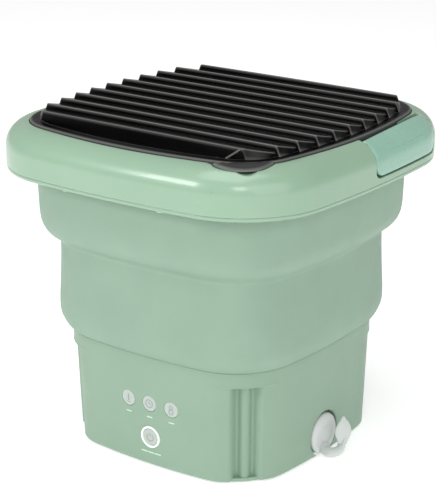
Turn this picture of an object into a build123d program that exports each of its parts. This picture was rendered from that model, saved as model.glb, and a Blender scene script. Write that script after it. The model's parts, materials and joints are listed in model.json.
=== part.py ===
from build123d import *
import os
from math import acos, atan2, cos, pi, radians, sin, sqrt, tan

os.makedirs("parts", exist_ok=True)

# Portable mini washer with a collapsible tub. Millimetres, +Z up.
# The origin is on the floor, under the centre of the base. The control panel faces -Y,
# the carrying handle and the drain are on the +X side.

# ---- Driving dimensions -------------------------------------------------------------------
# Heights above the floor
foot_height = 1.5
base_top = 95.0
collar_bottom = 82.0
fold_height = 170.0
rim_bottom = 229.5
rim_seam = 233.0
rim_top = 266.5
lid_edge_top = 268.0
rib_crest = 276.0

# Plan shapes: half width mid-side, corner radius, outward bow of each side
base_bottom_plan = (102.3, 51.0, 2.7)
base_top_plan = (105.5, 54.0, 2.7)
rim_plan = (145.0, 72.0, 2.8)
lid_plan = (127.9, 44.0, 7.7)
mouth_plan = (117.5, 36.0, 7.0)

# Walls and running gaps
wall = 2.5
gap = 0.3
running = 0.05

# Tub bellows, outer surface from the base to the rim: height, then plan shape
bellows_levels = [
    (95.0, 105.5, 54.0, 2.7),
    (97.5, 107.8, 54.0, 2.9),
    (101.5, 110.4, 53.0, 3.2),
    (108.0, 112.4, 52.0, 3.6),
    (118.0, 113.2, 52.0, 4.0),
    (136.0, 112.5, 52.0, 4.0),
    (152.0, 111.8, 52.0, 4.0),
    (fold_height, 111.7, 52.0, 4.0),
    (172.5, 113.6, 53.0, 4.0),
    (176.5, 119.0, 57.0, 3.8),
    (183.0, 123.6, 62.0, 3.4),
    (191.0, 125.8, 65.0, 3.2),
    (201.0, 126.3, 66.0, 3.0),
    (237.0, 126.9, 66.0, 3.0),
]
bellows_wall = 2.2

# Drive
shaft_radius = 4.0
gear_module = 1.25
gear_teeth = 54
pinion_teeth = 18
gear_width = 8.0
gear_bottom = 36.0
gear_pitch_radius = gear_module * gear_teeth / 2
pinion_pitch_radius = gear_module * pinion_teeth / 2
gear_centres = gear_pitch_radius + pinion_pitch_radius
pressure_angle = radians(20)
tooth_play = 0.12

# Drain in the +X side
drain_y = -2.0
drain_z = 18.5
drain_recess_radius = 19.0
drain_floor_x = 97.0
drain_plug_radius = 17.0
drain_plane = Plane(origin=(0, drain_y, drain_z), x_dir=(0, 1, 0), z_dir=(1, 0, 0))

# Corner flutes of the base: angle from the diagonal, radius, and centre beyond the corner's arc
corner_flutes = [(radians(-7.2), 5.5, 0.3), (radians(0), 8.0, 4.4), (radians(7.2), 5.5, 0.3)]

# Control panel in the -Y side
icon_height = 55.0
icon_radius = 6.6
icon_x = [-16.0, 5.2, 26.3]
power_x = 5.1
power_z = 26.0
power_radius = 7.0
board_back_y = -94.5

# Carrying handle in the +X side of the rim. Its hinge is turned from the Y axis to follow the
# lid, and start and end are measured along the hinge from the point nearest the tub's axis.
handle_start = -9.0
handle_end = 84.5
handle_bottom = 238.6
hinge_turn = radians(4.5)
hinge_reach = 133.6
hinge_z = 262.0
knuckle_radius = 2.6
window_back = 3.8
flap_corner = 10.0
flap_sweep = 40.0
flap_wall = 3.5
pin_radius = 1.2
pin_length = 12.2
pin_inside = 9.0

# Washboard lid
rib_count = 11
rib_pitch = 20.7
first_rib_y = -105.2
rib_foot = 271.2
field_border = 9.5
field_bottom = 264.0
field_floor = 266.5
field_end_y = 120.0
hollow_floor = 262.0
hollow_border = 4.5
hollow_back = 2.2
hollow_drop = 1.8
spigot_border = 2.0
spigot_bottom = 257.0
seal_bottom = 258.0
seal_height = 3.0
seal_border = 0.3


# ---- Helpers --------------------------------------------------------------------------------
def rounded_square(half, corner, bow):
    """Square with rounded corners whose sides bow out; half is the half width mid-side."""
    centre = half - bow - corner
    lean = 2 * atan2(bow, centre)
    end_across = centre + corner * sin(lean)
    end_out = centre + corner * cos(lean)
    diagonal = centre + corner / sqrt(2)
    with BuildSketch() as outline:
        with BuildLine():
            for turn in range(4):
                side = [(-end_across, end_out), (0, half), (end_across, end_out)]
                bend = [(end_across, end_out), (diagonal, diagonal), (end_out, end_across)]
                for points in (side, bend):
                    ThreePointArc(*[Vector(*point).rotate(Axis.Z, 90 * turn) for point in points])
        make_face()
    return outline.sketch


def plate(plan, bottom, top):
    """Upright block with one plan shape."""
    with BuildPart() as block:
        with BuildSketch(Plane.XY.offset(bottom)):
            add(rounded_square(*plan))
        extrude(amount=top - bottom)
    return block.part


def lofted_block(levels):
    """Block through a plan shape at each height."""
    with BuildPart() as block:
        for height, half, corner, bow in levels:
            with BuildSketch(Plane.XY.offset(height)):
                add(rounded_square(half, corner, bow))
        loft(ruled=True)
    return block.part


def inset(plan, amount):
    """Plan shape moved inwards all round."""
    return (plan[0] - amount, plan[1] - amount, plan[2])


def rim_block(depth, bottom):
    """Bull-nosed ring section of the rim, as a block, set inwards by depth."""
    rounding = 19.0
    with BuildPart() as block:
        with BuildSketch(Plane.XY.offset(bottom)):
            add(rounded_square(*inset(rim_plan, depth)))
        extrude(amount=rim_top - depth - bottom)
        fillet(block.faces().sort_by(Axis.Z)[-1].edges(), rounding - depth)
    return block.part


def handle_face(reach):
    """Upright plane parallel to the hinge, at a distance from the tub's axis."""
    out = Vector(cos(hinge_turn), sin(hinge_turn), 0)
    along = Vector(-sin(hinge_turn), cos(hinge_turn), 0)
    return Plane(origin=out * reach, x_dir=along, z_dir=out)


def handle_window(margin, corner):
    """Block through the rim where the handle flap sits, with rounded lower corners."""
    with BuildPart() as block:
        with BuildSketch(handle_face(hinge_reach - window_back)) as face:
            width = handle_end - handle_start + 2 * margin
            with Locations(((handle_start + handle_end) / 2, handle_bottom - margin)):
                Rectangle(width, 40, align=(Align.CENTER, Align.MIN))
            fillet(face.vertices().group_by(Axis.Z)[0], corner)
        extrude(amount=40)
    return block.part


def cylinder_between(plane, radius, start, end):
    """Round bar along the plane's normal, from start to end."""
    with BuildPart() as bar:
        with BuildSketch(plane.offset(start)):
            Circle(radius)
        extrude(amount=end - start)
    return bar.part


def involute_point(base_radius, radius, turn):
    """Point of an involute flank at a radius, turned about the gear's centre."""
    roll = sqrt((radius / base_radius) ** 2 - 1)
    angle = roll - acos(base_radius / radius) + turn
    return Vector(radius * cos(angle), radius * sin(angle))


def gear_outline(teeth, first_tooth):
    """Spur gear face with involute teeth; first_tooth is the angle of one tooth's middle."""
    pitch_radius = gear_module * teeth / 2
    base_radius = pitch_radius * cos(pressure_angle)
    tip_radius = pitch_radius + gear_module
    root_radius = pitch_radius - 1.25 * gear_module
    start_radius = max(base_radius, root_radius) * 1.001
    involute_angle = tan(pressure_angle) - pressure_angle
    half_tooth = pi / (2 * teeth) - tooth_play / pitch_radius
    steps = 4
    with BuildSketch() as face:
        Circle(root_radius)
        for tooth in range(teeth):
            middle = first_tooth + 2 * pi * tooth / teeth
            lower = middle - half_tooth - involute_angle
            flank = []
            for step in range(steps + 1):
                radius = start_radius + (tip_radius - start_radius) * step / steps
                flank.append(involute_point(base_radius, radius, lower))
            middle_line = Vector(cos(middle), sin(middle))
            other = [middle_line * (2 * point.dot(middle_line)) - point for point in flank]
            foot_low = flank[0] * ((root_radius - 0.3) / start_radius)
            foot_high = other[0] * ((root_radius - 0.3) / start_radius)
            with BuildLine():
                Polyline(foot_low, *flank, *reversed(other), foot_high, close=True)
            make_face()
    return face.sketch


def save(part, name):
    """Label a finished piece and write it under its name."""
    part.label = name
    export_step(part, f"parts/{name}.step")


# ---- Base -----------------------------------------------------------------------------------
base_outside = lofted_block([(foot_height, *base_bottom_plan), (base_top, *base_top_plan)])
inside_bottom = inset(base_bottom_plan, wall)
inside_top = inset(base_top_plan, wall)
base_inside = lofted_block([(foot_height - 1, *inside_bottom), (base_top + 1, *inside_top)])

corner_spots = [(1, 1), (-1, 1), (-1, -1), (1, -1)]
cover_screw_spots = [(56, 90), (-56, 90), (-56, -90), (56, -90)]
board_screw_spots = [(-32.0, 16.0), (42.0, 16.0), (-32.0, 50.0), (42.0, 50.0)]
jack_x = -25.0
jack_z = 25.0

with BuildPart() as base_skin:
    add(base_outside)
    add(base_inside, mode=Mode.SUBTRACT)

# Thick corners behind the flutes, cover screw bosses, the tub ledge and the drain boss
with BuildPart() as base_posts:
    for bottom, top, inner_reach in ((foot_height + wall + 0.3, 58.0, 112.5), (58.0, 84.5, 114.3)):
        with BuildSketch(Plane.XY.offset(bottom)):
            with PolarLocations(inner_reach, 4, start_angle=45):
                Rectangle(20, 30, align=(Align.MIN, Align.CENTER))
        extrude(amount=top - bottom)
    with BuildSketch(Plane.XY.offset(foot_height + wall)):
        for spot in cover_screw_spots:
            with Locations(spot):
                Circle(4.5)
            with Locations((spot[0], spot[1] * 1.06)):
                Rectangle(4, 12)
    extrude(amount=18)
    with BuildSketch(Plane.XY.offset(89.5)):
        add(rounded_square(*base_top_plan))
        add(rounded_square(*inset(base_top_plan, 6.7)), mode=Mode.SUBTRACT)
    extrude(amount=3)
    with BuildSketch(drain_plane.offset(drain_floor_x - 4)):
        Circle(drain_recess_radius + 3)
    extrude(amount=14)
    with BuildSketch(Plane.XZ.offset(-board_back_y + 1.65)):
        with Locations(board_screw_spots):
            Circle(3)
    extrude(amount=8)
    add(base_outside, mode=Mode.INTERSECT)

with BuildPart() as base_housing:
    add(base_skin.part)
    add(base_posts.part)
    # Upright flutes in each corner, which follow the taper and stop under the collar
    for across, along in corner_spots:
        for turn, radius, beyond in corner_flutes:
            angle = pi / 4 + turn
            for height, plan in ((foot_height - 1, base_bottom_plan), (collar_bottom, base_top_plan)):
                corner_centre = plan[0] - plan[2] - plan[1]
                flute_x = corner_centre + (plan[1] + beyond) * cos(angle)
                flute_y = corner_centre + (plan[1] + beyond) * sin(angle)
                with BuildSketch(Plane.XY.offset(height)):
                    with Locations((across * flute_x, along * flute_y)):
                        Circle(radius)
            loft(mode=Mode.SUBTRACT)
    # Drain recess and its outlet hole
    with BuildSketch(drain_plane.offset(drain_floor_x)):
        Circle(drain_recess_radius)
    extrude(amount=14, mode=Mode.SUBTRACT)
    with BuildSketch(drain_plane.offset(drain_floor_x - 10)):
        Circle(9.5)
    extrude(amount=14, mode=Mode.SUBTRACT)
    # Icon windows, power button hole, power inlet hole
    with BuildSketch(Plane.XZ.offset(98)):
        with Locations([(x, icon_height) for x in icon_x]):
            Circle(icon_radius + running)
        with Locations((power_x, power_z)):
            Circle(power_radius + 2.4)
    extrude(amount=12, mode=Mode.SUBTRACT)
    with BuildSketch(Plane.XZ.offset(-112)):
        with Locations((jack_x, jack_z)):
            Circle(6.0 + running)
    extrude(amount=16, mode=Mode.SUBTRACT)
    # Pilot holes
    with BuildSketch(Plane.XY.offset(foot_height)):
        with Locations(cover_screw_spots):
            Circle(1.5)
    extrude(amount=18, mode=Mode.SUBTRACT)
    with BuildSketch(Plane.XZ.offset(-board_back_y)):
        with Locations(board_screw_spots):
            Circle(1.2)
    extrude(amount=6, mode=Mode.SUBTRACT)
save(base_housing.part, "base_housing")

foot_spots = [(across * 68, along * 68) for across, along in corner_spots]
with BuildPart() as bottom_cover:
    with BuildSketch(Plane.XY.offset(foot_height)):
        add(rounded_square(*inset(base_bottom_plan, wall + 1.3)))
        with Locations((drain_floor_x, drain_y)):
            Rectangle(12, 2 * drain_recess_radius + 8, mode=Mode.SUBTRACT)
        with Locations(foot_spots):
            Circle(4 + running, mode=Mode.SUBTRACT)
        with Locations(cover_screw_spots):
            Circle(1.6, mode=Mode.SUBTRACT)
        with GridLocations(9, 0, 9, 1):
            with Locations((0, -45)):
                SlotOverall(30, 3.5, rotation=90, mode=Mode.SUBTRACT)
    extrude(amount=wall)
save(bottom_cover.part, "bottom_cover")

with BuildPart() as rubber_feet:
    with BuildSketch(Plane.XY):
        with Locations(foot_spots):
            Circle(9)
    extrude(amount=foot_height)
    with BuildSketch(Plane.XY.offset(foot_height)):
        with Locations(foot_spots):
            Circle(4)
    extrude(amount=wall)
    with BuildSketch(Plane.XY.offset(foot_height + wall)):
        with Locations(foot_spots):
            Circle(5.2)
    extrude(amount=2)
save(rubber_feet.part, "rubber_feet")

with BuildPart() as cover_screws:
    with BuildSketch(Plane.XY.offset(0.2)):
        with Locations(cover_screw_spots):
            Circle(2.8)
    extrude(amount=foot_height - 0.2)
    with BuildSketch(Plane.XY.offset(foot_height)):
        with Locations(cover_screw_spots):
            Circle(1.45)
    extrude(amount=14)
save(cover_screws.part, "cover_screws")

# ---- Tub basin in the base --------------------------------------------------------------------
basin_floor = 60.0
basin_low_plan = (93.0, 42.0, 2.7)
basin_top_plan = (97.5, 50.0, 2.7)
basin_outside = lofted_block([(basin_floor, *basin_low_plan), (92.5, *basin_top_plan)])
low_inside = inset(basin_low_plan, wall)
top_inside = inset(basin_top_plan, wall)
basin_inside = lofted_block([(basin_floor + wall, *low_inside), (96.0, *top_inside)])
outlet_spot = (72.0, drain_y)
gearbox_screw_spots = [
    (43 * cos(radians(angle)), 43 * sin(radians(angle))) for angle in (25, 155, 215, 325)
]

with BuildPart() as tub_basin:
    add(basin_outside)
    with BuildSketch(Plane.XY.offset(92.5)):
        add(rounded_square(*inset(base_top_plan, wall + gap)))
    extrude(amount=base_top - 92.5)
    add(basin_inside, mode=Mode.SUBTRACT)
    with BuildSketch(Plane.XY.offset(52.0)):
        Circle(13)
    extrude(amount=14)
    with BuildSketch(Plane.XY.offset(52.0)):
        with Locations(outlet_spot):
            Circle(9.5)
    extrude(amount=8)
    with BuildSketch(Plane.XY.offset(49.0)):
        with Locations(gearbox_screw_spots):
            Circle(4.5)
    extrude(amount=11.5)
    with BuildSketch(Plane.XY.offset(50.0)):
        Circle(7)
    extrude(amount=12, mode=Mode.SUBTRACT)
    with BuildSketch(Plane.XY.offset(62.0)):
        Circle(9)
    extrude(amount=6, mode=Mode.SUBTRACT)
    with BuildSketch(Plane.XY.offset(50.0)):
        with Locations(outlet_spot):
            Circle(7)
    extrude(amount=9, mode=Mode.SUBTRACT)
    with BuildSketch(Plane.XY.offset(58.0)):
        with Locations(outlet_spot):
            Circle(5.5)
    extrude(amount=6, mode=Mode.SUBTRACT)
    with BuildSketch(Plane.XY.offset(48.0)):
        with Locations(gearbox_screw_spots):
            Circle(1.55)
    extrude(amount=10, mode=Mode.SUBTRACT)
save(tub_basin.part, "tub_basin")

# ---- Drive --------------------------------------------------------------------------------------
gearbox_floor = 30.0
gearbox_rim = 46.0


def gearbox_plan(large, small):
    """Keyhole outline round the large gear and the pinion."""
    with BuildSketch() as outline:
        Circle(large)
        with Locations((0, gear_centres)):
            Circle(small)
        with Locations((0, gear_centres / 2)):
            Rectangle(2 * small, gear_centres)
    return outline.sketch


with BuildPart() as gearbox_case:
    with BuildSketch(Plane.XY.offset(gearbox_floor)):
        add(gearbox_plan(40, 18))
        with Locations(gearbox_screw_spots):
            Circle(5.5)
    extrude(amount=gearbox_rim - gearbox_floor)
    with BuildSketch(Plane.XY.offset(26.0)):
        Circle(9.5)
    extrude(amount=4)
    with BuildSketch(Plane.XY.offset(gearbox_floor + 3)):
        add(gearbox_plan(37, 15))
    extrude(amount=gearbox_rim, mode=Mode.SUBTRACT)
    with BuildSketch(Plane.XY.offset(20.0)):
        Circle(7)
        with Locations((0, gear_centres)):
            Circle(5)
        with Locations((-9, gear_centres), (9, gear_centres)):
            Circle(1.55)
        with Locations(gearbox_screw_spots):
            Circle(1.55)
    extrude(amount=30, mode=Mode.SUBTRACT)
save(gearbox_case.part, "gearbox_case")

with BuildPart() as gearbox_cover:
    with BuildSketch(Plane.XY.offset(gearbox_rim)):
        add(gearbox_plan(40, 18))
        with Locations(gearbox_screw_spots):
            Circle(5.5)
        Circle(6, mode=Mode.SUBTRACT)
        with Locations(gearbox_screw_spots):
            Circle(1.55, mode=Mode.SUBTRACT)
    extrude(amount=3)
save(gearbox_cover.part, "gearbox_cover")

with BuildPart() as gearbox_screws:
    with BuildSketch(Plane.XY.offset(27.5)):
        with Locations(gearbox_screw_spots):
            Circle(3)
    extrude(amount=2.5)
    with BuildSketch(Plane.XY.offset(30.0)):
        with Locations(gearbox_screw_spots):
            Circle(1.5)
    extrude(amount=27)
save(gearbox_screws.part, "gearbox_screws")

with BuildPart() as pulsator_shaft:
    with BuildSketch(Plane.XY.offset(27.0)):
        Circle(shaft_radius)
    extrude(amount=51)
    with BuildSketch(Plane.XY.offset(64.0)):
        Circle(2)
    extrude(amount=14, mode=Mode.SUBTRACT)
save(pulsator_shaft.part, "pulsator_shaft")

with BuildPart() as lower_bushing:
    with BuildSketch(Plane.XY.offset(26.0)):
        Circle(7)
        Circle(shaft_radius + running, mode=Mode.SUBTRACT)
    extrude(amount=7)
save(lower_bushing.part, "lower_bushing")

with BuildPart() as upper_bushing:
    with BuildSketch(Plane.XY.offset(52.0)):
        Circle(7)
        Circle(shaft_radius + running, mode=Mode.SUBTRACT)
    extrude(amount=10)
save(upper_bushing.part, "upper_bushing")

with BuildPart() as shaft_seal:
    with BuildSketch(Plane.XY.offset(62.0)):
        Circle(9)
        Circle(shaft_radius + running, mode=Mode.SUBTRACT)
    extrude(amount=3.8)
    with BuildSketch(Plane.XY.offset(63.5)):
        Circle(7)
        Circle(shaft_radius + 1.2, mode=Mode.SUBTRACT)
    extrude(amount=3, mode=Mode.SUBTRACT)
save(shaft_seal.part, "shaft_seal")

with BuildPart() as drive_gear:
    with BuildSketch(Plane.XY.offset(gear_bottom)):
        add(gear_outline(gear_teeth, pi / 2))
        Circle(shaft_radius, mode=Mode.SUBTRACT)
    extrude(amount=gear_width)
    with BuildSketch(Plane.XY.offset(gear_bottom + 3)):
        Circle(28)
        Circle(10, mode=Mode.SUBTRACT)
    extrude(amount=gear_width, mode=Mode.SUBTRACT)
save(drive_gear.part, "drive_gear")

motor_plane = Plane(origin=(0, gear_centres, 0), z_dir=(0, 0, 1))
motor_shaft_radius = 1.6

with BuildPart() as motor_pinion:
    with BuildSketch(motor_plane.offset(gear_bottom)):
        add(gear_outline(pinion_teeth, -pi / 2 + pi / pinion_teeth))
        Circle(motor_shaft_radius, mode=Mode.SUBTRACT)
    extrude(amount=gear_width)
save(motor_pinion.part, "motor_pinion")

with BuildPart() as motor_shaft:
    with BuildSketch(motor_plane.offset(10.5)):
        Circle(motor_shaft_radius)
    extrude(amount=34.5)
save(motor_shaft.part, "motor_shaft")

with BuildPart() as motor_can:
    with BuildSketch(motor_plane.offset(7.0)):
        Circle(18)
    extrude(amount=gearbox_floor - 7.0)
    fillet(motor_can.edges().filter_by(GeomType.CIRCLE), 1.5)
    with BuildSketch(motor_plane.offset(gearbox_floor)):
        Circle(4.9)
    extrude(amount=2.5)
    with BuildSketch(motor_plane.offset(10.0)):
        Circle(motor_shaft_radius + running)
    extrude(amount=30, mode=Mode.SUBTRACT)
    with BuildSketch(motor_plane.offset(24.0)):
        with Locations((-9, 0), (9, 0)):
            Circle(1.55)
    extrude(amount=10, mode=Mode.SUBTRACT)
save(motor_can.part, "motor_can")

with BuildPart() as motor_screws:
    with BuildSketch(motor_plane.offset(25.0)):
        with Locations((-9, 0), (9, 0)):
            Circle(1.5)
    extrude(amount=8)
    with BuildSketch(motor_plane.offset(33.0)):
        with Locations((-9, 0), (9, 0)):
            Circle(2.7)
    extrude(amount=2)
save(motor_screws.part, "motor_screws")

# ---- Pulsator -------------------------------------------------------------------------------------
pulsator_bottom = 67.0
pulsator_radius = 64.0

with BuildPart() as pulsator:
    with BuildSketch(Plane.XZ):
        with BuildLine():
            skirt_low = (pulsator_radius, pulsator_bottom)
            skirt_high = (pulsator_radius, pulsator_bottom + 3)
            dome_edge = (pulsator_radius - 2, pulsator_bottom + 5)
            hub_foot = (20, pulsator_bottom + 9)
            hub_top = (11, pulsator_bottom + 14)
            Polyline((shaft_radius, pulsator_bottom + 14), hub_top, hub_foot)
            ThreePointArc(hub_foot, (44, pulsator_bottom + 8), dome_edge)
            Polyline(dome_edge, skirt_high, skirt_low, (pulsator_radius - 2.5, pulsator_bottom))
            Polyline((pulsator_radius - 2.5, pulsator_bottom), (55, pulsator_bottom + 3.5))
            Polyline((55, pulsator_bottom + 3.5), (12, pulsator_bottom + 5), (9, pulsator_bottom))
            Polyline((9, pulsator_bottom), (shaft_radius, pulsator_bottom))
            Polyline((shaft_radius, pulsator_bottom), (shaft_radius, pulsator_bottom + 14))
        make_face()
    revolve(axis=Axis.Z)
    with BuildSketch(Plane.XY.offset(pulsator_bottom + 4.5)):
        with PolarLocations(36, 4):
            SlotOverall(46, 9)
    extrude(amount=9, taper=12)
    with BuildSketch(Plane.XY.offset(pulsator_bottom + 11)):
        Circle(10)
        Circle(2.05, mode=Mode.SUBTRACT)
    extrude(amount=3)
    with BuildSketch(Plane.XY.offset(pulsator_bottom - 1)):
        with PolarLocations(48, 12, start_angle=15):
            Circle(2)
    extrude(amount=12, mode=Mode.SUBTRACT)
save(pulsator.part, "pulsator")

with BuildPart() as pulsator_screw:
    with BuildSketch(Plane.XY.offset(66.0)):
        Circle(1.95)
    extrude(amount=15)
    with BuildSketch(Plane.XY.offset(81.0)):
        Circle(5.5)
    extrude(amount=2.8)
    fillet(pulsator_screw.faces().sort_by(Axis.Z)[-1].edges(), 1.8)
save(pulsator_screw.part, "pulsator_screw")

# ---- Drain --------------------------------------------------------------------------------------
elbow_radius = 16.0
with BuildPart() as drain_elbow:
    with BuildLine() as drain_route:
        elbow_top = (outlet_spot[0], drain_y, 58.0)
        elbow_corner = (outlet_spot[0], drain_y, drain_z)
        elbow_end = (95.0, drain_y, drain_z)
        FilletPolyline(elbow_top, elbow_corner, elbow_end, radius=elbow_radius)
    with BuildSketch(Plane(origin=elbow_top, z_dir=(0, 0, -1))):
        Circle(7)
        Circle(5.5, mode=Mode.SUBTRACT)
    sweep()
save(drain_elbow.part, "drain_elbow")

with BuildPart() as drain_outlet:
    with BuildSketch(drain_plane.offset(88.3)):
        Circle(9.4)
    extrude(amount=9.7)
    with BuildSketch(drain_plane.offset(98.0)):
        Circle(12)
    extrude(amount=1.5)
    with BuildSketch(drain_plane.offset(88.3)):
        Circle(7)
    extrude(amount=6.7, mode=Mode.SUBTRACT)
    with BuildSketch(drain_plane.offset(95.0)):
        Circle(6.5)
    extrude(amount=6, mode=Mode.SUBTRACT)
save(drain_outlet.part, "drain_outlet")

with BuildPart() as drain_gasket:
    with BuildSketch(drain_plane.offset(97.0)):
        Circle(11.5)
        Circle(9.5, mode=Mode.SUBTRACT)
    extrude(amount=1)
save(drain_gasket.part, "drain_gasket")

with BuildPart() as drain_nut:
    with BuildSketch(drain_plane.offset(88.3)):
        RegularPolygon(13, 6)
        Circle(9.45, mode=Mode.SUBTRACT)
    extrude(amount=4.5)
save(drain_nut.part, "drain_nut")

# The stopper: a domed cap, a hollow neck, and a strap that loops down and up to a pull tab
cap_back = 99.8
strap_points = [(104.0, -6.0, 4.5), (111.0, -7.5, 2.7), (118.5, -5.0, 2.9), (121.5, 1.5, 6.5)]
tab_foot = (120.5, 8.0, 12.0)
with BuildPart() as stopper_strap:
    with BuildLine() as strap_route:
        Spline(*strap_points, tab_foot)
    with BuildSketch(Plane(origin=strap_points[0], z_dir=strap_route.edge() % 0)):
        Circle(2.0)
    sweep()

tab_plane = Plane(origin=(119.0, 11.5, 20.0), x_dir=(-0.35, 0.9, 0), z_dir=(0.9, 0.35, 0.25))
with BuildPart() as stopper_tab:
    with BuildSketch(tab_plane.offset(-1.3)):
        Ellipse(5.2, 11)
    extrude(amount=2.6)
    fillet(stopper_tab.edges(), 0.8)

with BuildPart() as drain_plug:
    with BuildSketch(drain_plane.offset(cap_back)):
        Circle(drain_plug_radius)
    extrude(amount=5.0)
    fillet(drain_plug.faces().sort_by(Axis.X)[-1].edges(), 3.5)
    with BuildSketch(drain_plane.offset(95.2)):
        Circle(6.5 - running)
        Circle(4.2, mode=Mode.SUBTRACT)
    extrude(amount=cap_back - 95.2 + 0.5)
    add(stopper_strap.part)
    add(stopper_tab.part)
save(drain_plug.part, "drain_plug")

# ---- Controls -----------------------------------------------------------------------------------
with BuildPart() as control_board:
    with BuildSketch(Plane.XZ.offset(-board_back_y)):
        with Locations((5, 33.5)):
            Rectangle(86, 47)
        with Locations(board_screw_spots):
            Circle(1.25, mode=Mode.SUBTRACT)
    extrude(amount=1.6)
    with BuildSketch(Plane.XZ.offset(-board_back_y - 5)):
        with Locations((-18, 30), (26, 26)):
            Rectangle(12, 16)
    extrude(amount=5)
save(control_board.part, "control_board")

with BuildPart() as board_screws:
    with BuildSketch(Plane.XZ.offset(-board_back_y - 1.8)):
        with Locations(board_screw_spots):
            Circle(2.2)
    extrude(amount=1.8)
    with BuildSketch(Plane.XZ.offset(-board_back_y)):
        with Locations(board_screw_spots):
            Circle(1.15)
    extrude(amount=5)
save(board_screws.part, "board_screws")

with BuildPart() as indicator_leds:
    with BuildSketch(Plane.XZ.offset(-board_back_y + 1.6)):
        with Locations([(x, icon_height - 1) for x in icon_x]):
            Rectangle(3.5, 3.5)
    extrude(amount=1.6)
save(indicator_leds.part, "indicator_leds")

with BuildPart() as indicator_lenses:
    with BuildSketch(Plane.XZ.offset(98.2)):
        with Locations([(x, icon_height) for x in icon_x]):
            Circle(icon_radius + 1.2)
    extrude(amount=1.2)
    with BuildSketch(Plane.XZ.offset(99.4)):
        with Locations([(x, icon_height) for x in icon_x]):
            Circle(icon_radius)
    extrude(amount=10)
    add(base_outside, mode=Mode.INTERSECT)
save(indicator_lenses.part, "indicator_lenses")

with BuildPart() as button_bezel:
    with BuildSketch(Plane.XZ.offset(99.9)):
        with Locations((power_x, power_z)):
            Circle(power_radius + 2.3)
            Circle(power_radius + 0.15, mode=Mode.SUBTRACT)
    extrude(amount=4.0)
    fillet(button_bezel.faces().sort_by(Axis.Y)[0].edges(), 0.5)
save(button_bezel.part, "button_bezel")

with BuildPart() as power_button:
    with BuildSketch(Plane.XZ.offset(99.6)):
        with Locations((power_x, power_z)):
            Circle(power_radius)
    extrude(amount=4.6)
    fillet(power_button.faces().sort_by(Axis.Y)[0].edges(), 0.8)
    with BuildSketch(Plane.XZ.offset(99.0)):
        with Locations((power_x, power_z)):
            Circle(power_radius + 1.6)
    extrude(amount=0.7)
save(power_button.part, "power_button")

with BuildPart() as power_switch:
    with BuildSketch(Plane.XZ.offset(-board_back_y + 1.6)):
        with Locations((power_x, power_z)):
            Rectangle(6, 6)
    extrude(amount=1.2)
    with BuildSketch(Plane.XZ.offset(-board_back_y + 2.8)):
        with Locations((power_x, power_z)):
            Circle(1.7)
    extrude(amount=0.4)
save(power_switch.part, "power_switch")

jack_plane = Plane(origin=(jack_x, 0, jack_z), x_dir=(-1, 0, 0), z_dir=(0, 1, 0))
with BuildPart() as power_inlet:
    with BuildSketch(jack_plane.offset(90.0)):
        Circle(6)
    extrude(amount=14.5)
    with BuildSketch(jack_plane.offset(103.6)):
        Circle(8)
    extrude(amount=1.6)
    with BuildSketch(jack_plane.offset(94.0)):
        Circle(2.8)
        Circle(1.05, mode=Mode.SUBTRACT)
    extrude(amount=14, mode=Mode.SUBTRACT)
save(power_inlet.part, "power_inlet")

with BuildPart() as inlet_nut:
    with BuildSketch(jack_plane.offset(96.2)):
        RegularPolygon(9, 6)
        Circle(6.05, mode=Mode.SUBTRACT)
    extrude(amount=3.2)
save(inlet_nut.part, "inlet_nut")


def lead(points, bend):
    """Insulated lead as a round tube along straight runs joined by arcs."""
    with BuildPart() as tube:
        with BuildLine() as route:
            FilletPolyline(*points, radius=bend)
        with BuildSketch(Plane(origin=points[0], z_dir=Vector(*points[1]) - Vector(*points[0]))):
            Circle(1.8)
        sweep(path=route.wire())
    return tube.part


motor_lead = lead(
    [(-30, -93.4, 24), (-30, -72, 12), (-40, -20, 9), (-42, 25, 9), (-34, 42, 14), (-19.4, 45, 18)], 9
)
inlet_lead = lead(
    [(-40, 30, 9), (-44, 60, 14), (-30, 76, 22), (jack_x, 88.8, 25)], 8
)
with BuildPart() as wiring_loom:
    add(motor_lead)
    add(inlet_lead)
save(wiring_loom.part, "wiring_loom")

# ---- Bellows and its clamps ----------------------------------------------------------------------
bellows_outside = lofted_block(bellows_levels)
inner_levels = [
    (height + 1.0, half - bellows_wall, corner - bellows_wall, bow)
    for height, half, corner, bow in bellows_levels
]
bellows_inside = lofted_block(inner_levels)
bellows_top_plan = bellows_levels[-1][1:]
with BuildPart() as bellows:
    add(bellows_outside)
    add(bellows_inside, mode=Mode.SUBTRACT)
    with BuildSketch(Plane.XY.offset(base_top)):
        add(rounded_square(*base_top_plan))
        add(rounded_square(*inset(base_top_plan, 8.5)), mode=Mode.SUBTRACT)
    extrude(amount=2.5)
    with BuildSketch(Plane.XY.offset(rim_seam + 0.1)):
        add(rounded_square(*inset(bellows_top_plan, -4)))
        add(rounded_square(*inset(bellows_top_plan, bellows_wall)), mode=Mode.SUBTRACT)
    extrude(amount=3.0)
    with BuildSketch(Plane.XY.offset(rim_seam + 3.1)):
        add(rounded_square(*inset(bellows_top_plan, -10)))
    extrude(amount=10, mode=Mode.SUBTRACT)
save(bellows.part, "bellows")

with BuildPart() as bellows_lower_clamp:
    with BuildSketch(Plane.XY.offset(base_top + 2.5)):
        add(rounded_square(*inset(base_top_plan, 2.5)))
        add(rounded_square(*inset(base_top_plan, 9.0)), mode=Mode.SUBTRACT)
    extrude(amount=2.5)
save(bellows_lower_clamp.part, "bellows_lower_clamp")

with BuildPart() as bellows_upper_clamp:
    with BuildSketch(Plane.XY.offset(rim_seam + 3.3)):
        add(rounded_square(*inset(bellows_top_plan, -4)))
        add(rounded_square(*inset(mouth_plan, -3.8)), mode=Mode.SUBTRACT)
    extrude(amount=2.5)
save(bellows_upper_clamp.part, "bellows_upper_clamp")

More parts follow.
